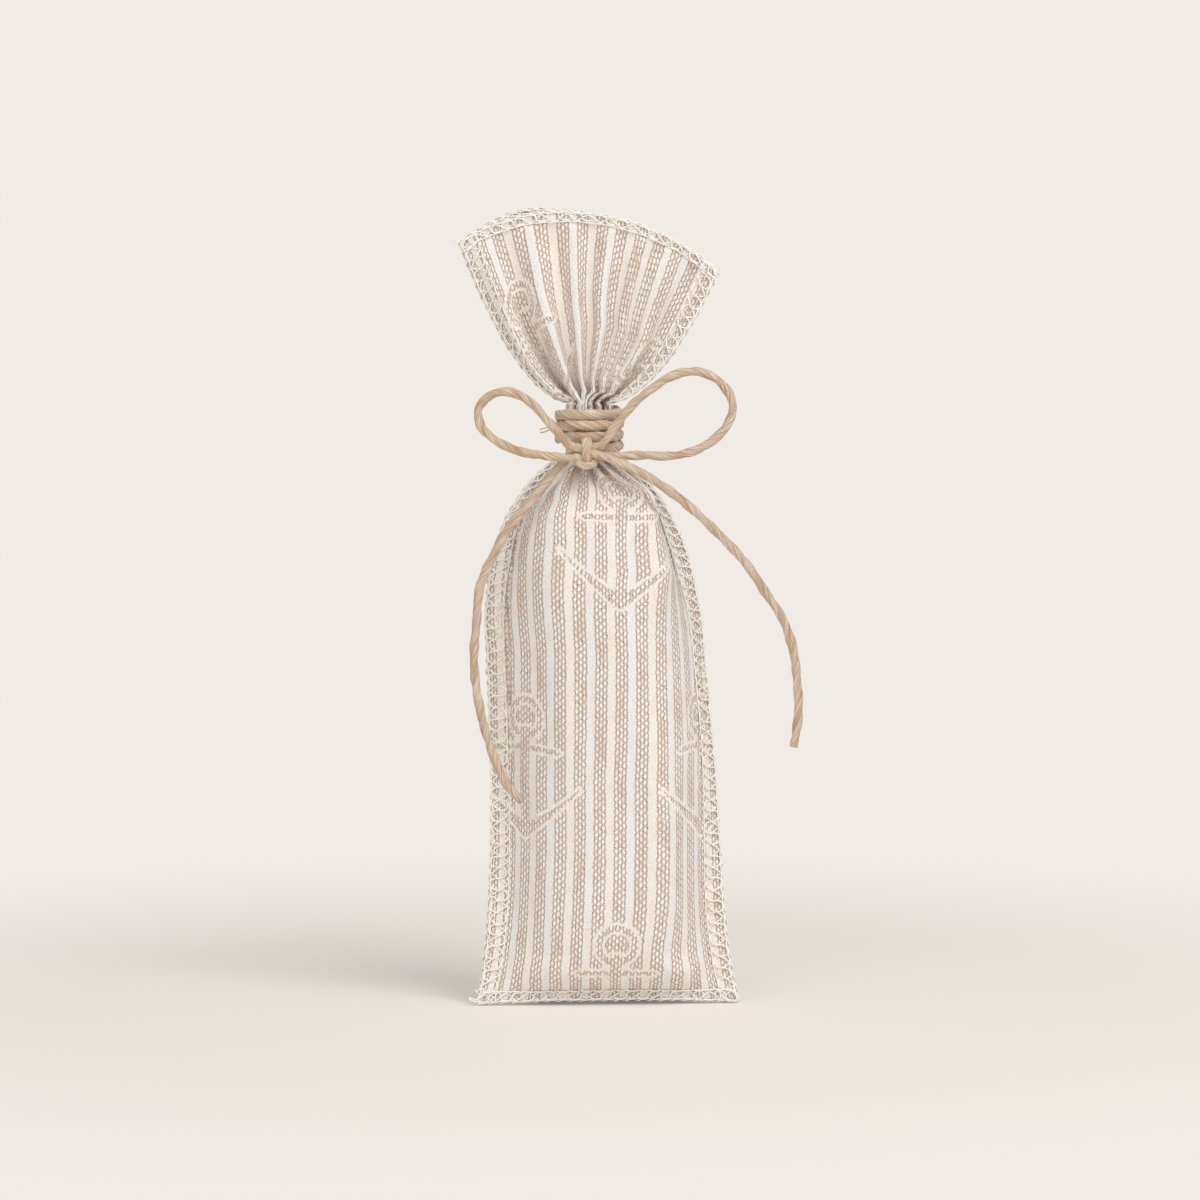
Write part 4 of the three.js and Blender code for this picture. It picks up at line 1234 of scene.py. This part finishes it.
# Cut thread ends stick out at the corners, each given from its root
foot_ends = [
    (0.4, [(0, 0, 0), (-0.8, -0.3, 0.1), (-1.7, -0.5, 0.5), (-2.2, -0.4, 1.2)]),
    (1.2, [(0, 0, 0), (-0.7, -0.2, -0.2), (-1.5, 0.1, -0.1), (-2.4, 0.2, 0.3)]),
    (2.2, [(0, 0, 0), (-0.6, 0.2, 0.4), (-1.0, 0.1, 1.1)]),
]
left_top_ends = [
    (left_edge.run[-1] - 0.5, [(0, 0, 0), (-0.5, -0.2, 0.5), (-1.3, -0.3, 0.8), (-1.9, 0.0, 0.4)]),
    (left_edge.run[-1] - 1.4, [(0, 0, 0), (-0.7, 0.1, 0.2), (-1.1, 0.3, 0.9)]),
]
right_top_ends = [
    (right_edge.run[-1] - 0.4, [(0, 0, 0), (0.6, -0.2, 0.5), (1.0, -0.3, 1.2), (1.7, -0.1, 1.5)]),
    (right_edge.run[-1] - 1.3, [(0, 0, 0), (0.6, 0.1, 0.0), (1.4, 0.2, 0.3)]),
]
overlock("left_overlock", "overlock_left", left_edge, needle_inset, foot_ends + left_top_ends)
overlock("right_overlock", "overlock_right", right_edge, needle_inset, right_top_ends)
overlock("bottom_overlock", "overlock_bottom", bottom_edge, bottom_flange - 0.6)
overlock("front_hem_overlock", "overlock_top_front", front_top, hem_needle_inset)
overlock("back_hem_overlock", "overlock_top_back", back_top, hem_needle_inset)


# The filling: loose dried flower buds that the closed pouch hides. They settle into one lumpy mass
# that follows the cloth's inner face, a little way inside it.
bud_size = 2.4
bud_relief = 0.7
bud_total = 2600
filling_inset = 1.5
filling_fullness = 0.95

# Rows and columns of the cloth between which it lies, and from where it is drawn in under the neck
bud_border = 16
bud_shape = (128, 64)
bud_first_row, bud_last_row = 9, 128
drawn_in_from, drawn_in_by = 100, 0.35
bud_room = ((-26, 28), (-16, 14), (2, 124))

bud_dark = srgb(142, 130, 150)
bud_grey = srgb(104, 98, 92)
bud_straw = srgb(150, 140, 112)

bud_columns = np.linspace(bud_border, last_column - bud_border, bud_shape[1])
bud_rows = np.linspace(bud_first_row, bud_last_row, bud_shape[0])
row_index, column_index = (part.ravel() for part in np.meshgrid(bud_rows, bud_columns, indexing="ij"))
front_points = on_grid(front_grid, row_index, column_index)
back_points = on_grid(back_grid, row_index, column_index)
bud_rng = np.random.default_rng(12)
bud_centres = np.column_stack([bud_rng.uniform(*limits, bud_total) for limits in bud_room])
middle_points = (front_points + back_points) / 2
filled = filling_fullness - drawn_in_by * ease(row_index, drawn_in_from, bud_last_row)
layers = []
for points in (front_points, back_points):
    offset = points - middle_points
    reach = np.linalg.norm(offset, axis=1)
    nearest = np.array([np.sqrt(((bud_centres - point) ** 2).sum(axis=1).min()) for point in points])
    lump = bud_relief * np.clip(1 - nearest / bud_size, 0, 1)
    kept = np.clip(reach - filling_inset - bud_relief + lump, 0.02, None)
    layer = middle_points + offset / np.maximum(reach, 1e-6)[:, None] * (filled * kept)[:, None]
    layer[:, 0] = mix(middle(layer[:, 2]), layer[:, 0], filled)
    layers.append(layer)
bud_count = bud_shape[0] * bud_shape[1]

numbers = np.arange(bud_count).reshape(bud_shape)
rim = np.concatenate([numbers[0], numbers[1:, -1], numbers[-1, -2::-1], numbers[-2:0:-1, 0]]).tolist()
bud_faces = grid_faces(bud_shape, 0, False) + grid_faces(bud_shape, bud_count, True)
bud_faces += [(b, a, bud_count + a, bud_count + b) for a, b in zip(rim, rim[1:] + rim[:1])]
buds = new_piece("dried_flower_filling", np.vstack(layers), bud_faces)

dried = Shader("dried_flowers", 0.95)
bud_place = dried.node("ShaderNodeTexCoord").outputs["Object"]
bud_cells = dried.number("ShaderNodeTexVoronoi", {"Vector": bud_place, "Scale": 480.0})
bud_tone = dried.noise(bud_place, 900.0, 3.0)
bud_colour = dried.mix(dried.ramp(bud_cells, 0.2, 0.9), bud_dark, bud_grey)
bud_colour = dried.mix(dried.ramp(bud_tone, 0.55, 0.7), bud_colour, bud_straw)
dried.finish(bud_colour, bud_tone, depth=0.0003, strength=0.8)
fitted(buds, dried, "filling")


# The floor and backdrop are one plain pale sheet, which fades into the even tone behind it away from
# the pouch. A soft main lamp from the right, a wide fill lamp and the pale surroundings light it.
backdrop_colour = srgb(241, 235, 230)
floor_colour = srgb(250, 245, 239)
floor_reach = 6.0
fade_from, fade_to = 0.05, 0.32
least_fade = 0.2

bpy.ops.object.select_all(action="DESELECT")
bpy.ops.mesh.primitive_plane_add(size=2 * floor_reach, location=(0, 0, 0))
floor = bpy.context.object
floor.name = "floor"
ground = Shader("floor_paper", 0.95)
ground.skin.inputs["Base Color"].default_value = floor_colour
ground.skin.inputs["Specular IOR Level"].default_value = 0.1
floor_place = ground.node("ShaderNodeTexCoord").outputs["Object"]
from_pouch = ground.node("ShaderNodeVectorMath", {0: floor_place}, operation="LENGTH")
fade = ground.math("MAXIMUM", ground.ramp(from_pouch.outputs["Value"], fade_from, fade_to), least_fade)
seen = ground.node("ShaderNodeLightPath").outputs["Is Camera Ray"]
even = ground.node("ShaderNodeEmission", {"Color": backdrop_colour, "Strength": 1.0})
faded_floor = ground.node("ShaderNodeMixShader", {0: fade * seen, 2: even.outputs[0]})
ground.set(faded_floor.inputs[1], ground.skin.outputs[0])
ground.set(ground.tree.nodes["Material Output"].inputs[0], faded_floor.outputs[0])
floor.data.materials.append(ground.material)

surround_colour = srgb(240, 237, 234)
surround_strength = 0.53
world = bpy.data.worlds.new("studio")
bpy.context.scene.world = world
world.use_nodes = True
links = world.node_tree.links
surround = world.node_tree.nodes["Background"]
surround.inputs["Color"].default_value = surround_colour
surround.inputs["Strength"].default_value = surround_strength
backdrop = world.node_tree.nodes.new("ShaderNodeBackground")
backdrop.inputs["Color"].default_value = backdrop_colour
backdrop.inputs["Strength"].default_value = 1.0
seen_directly = world.node_tree.nodes.new("ShaderNodeLightPath").outputs["Is Camera Ray"]
either = world.node_tree.nodes.new("ShaderNodeMixShader")
links.new(seen_directly, either.inputs[0])
links.new(surround.outputs[0], either.inputs[1])
links.new(backdrop.outputs[0], either.inputs[2])
links.new(either.outputs[0], world.node_tree.nodes["World Output"].inputs[0])

lamp_target = Vector((0, 0, 0.09))


def soft_lamp(name, size, power, place, colour=(1, 1, 1)):
    data = bpy.data.lights.new(name, "AREA")
    data.size = size
    data.energy = power
    data.color = colour
    lamp = bpy.data.objects.new(name, data)
    lamp.location = place
    lamp.rotation_euler = (lamp_target - lamp.location).to_track_quat("-Z", "Y").to_euler()
    bpy.context.scene.collection.objects.link(lamp)


soft_lamp("main_lamp", size=0.9, power=14, place=(0.66, -0.88, 1.45), colour=(1.0, 0.985, 0.965))
soft_lamp("fill_lamp", size=1.4, power=6.5, place=(-0.75, -1.5, 0.7))

bpy.context.scene.view_settings.view_transform = "Standard"
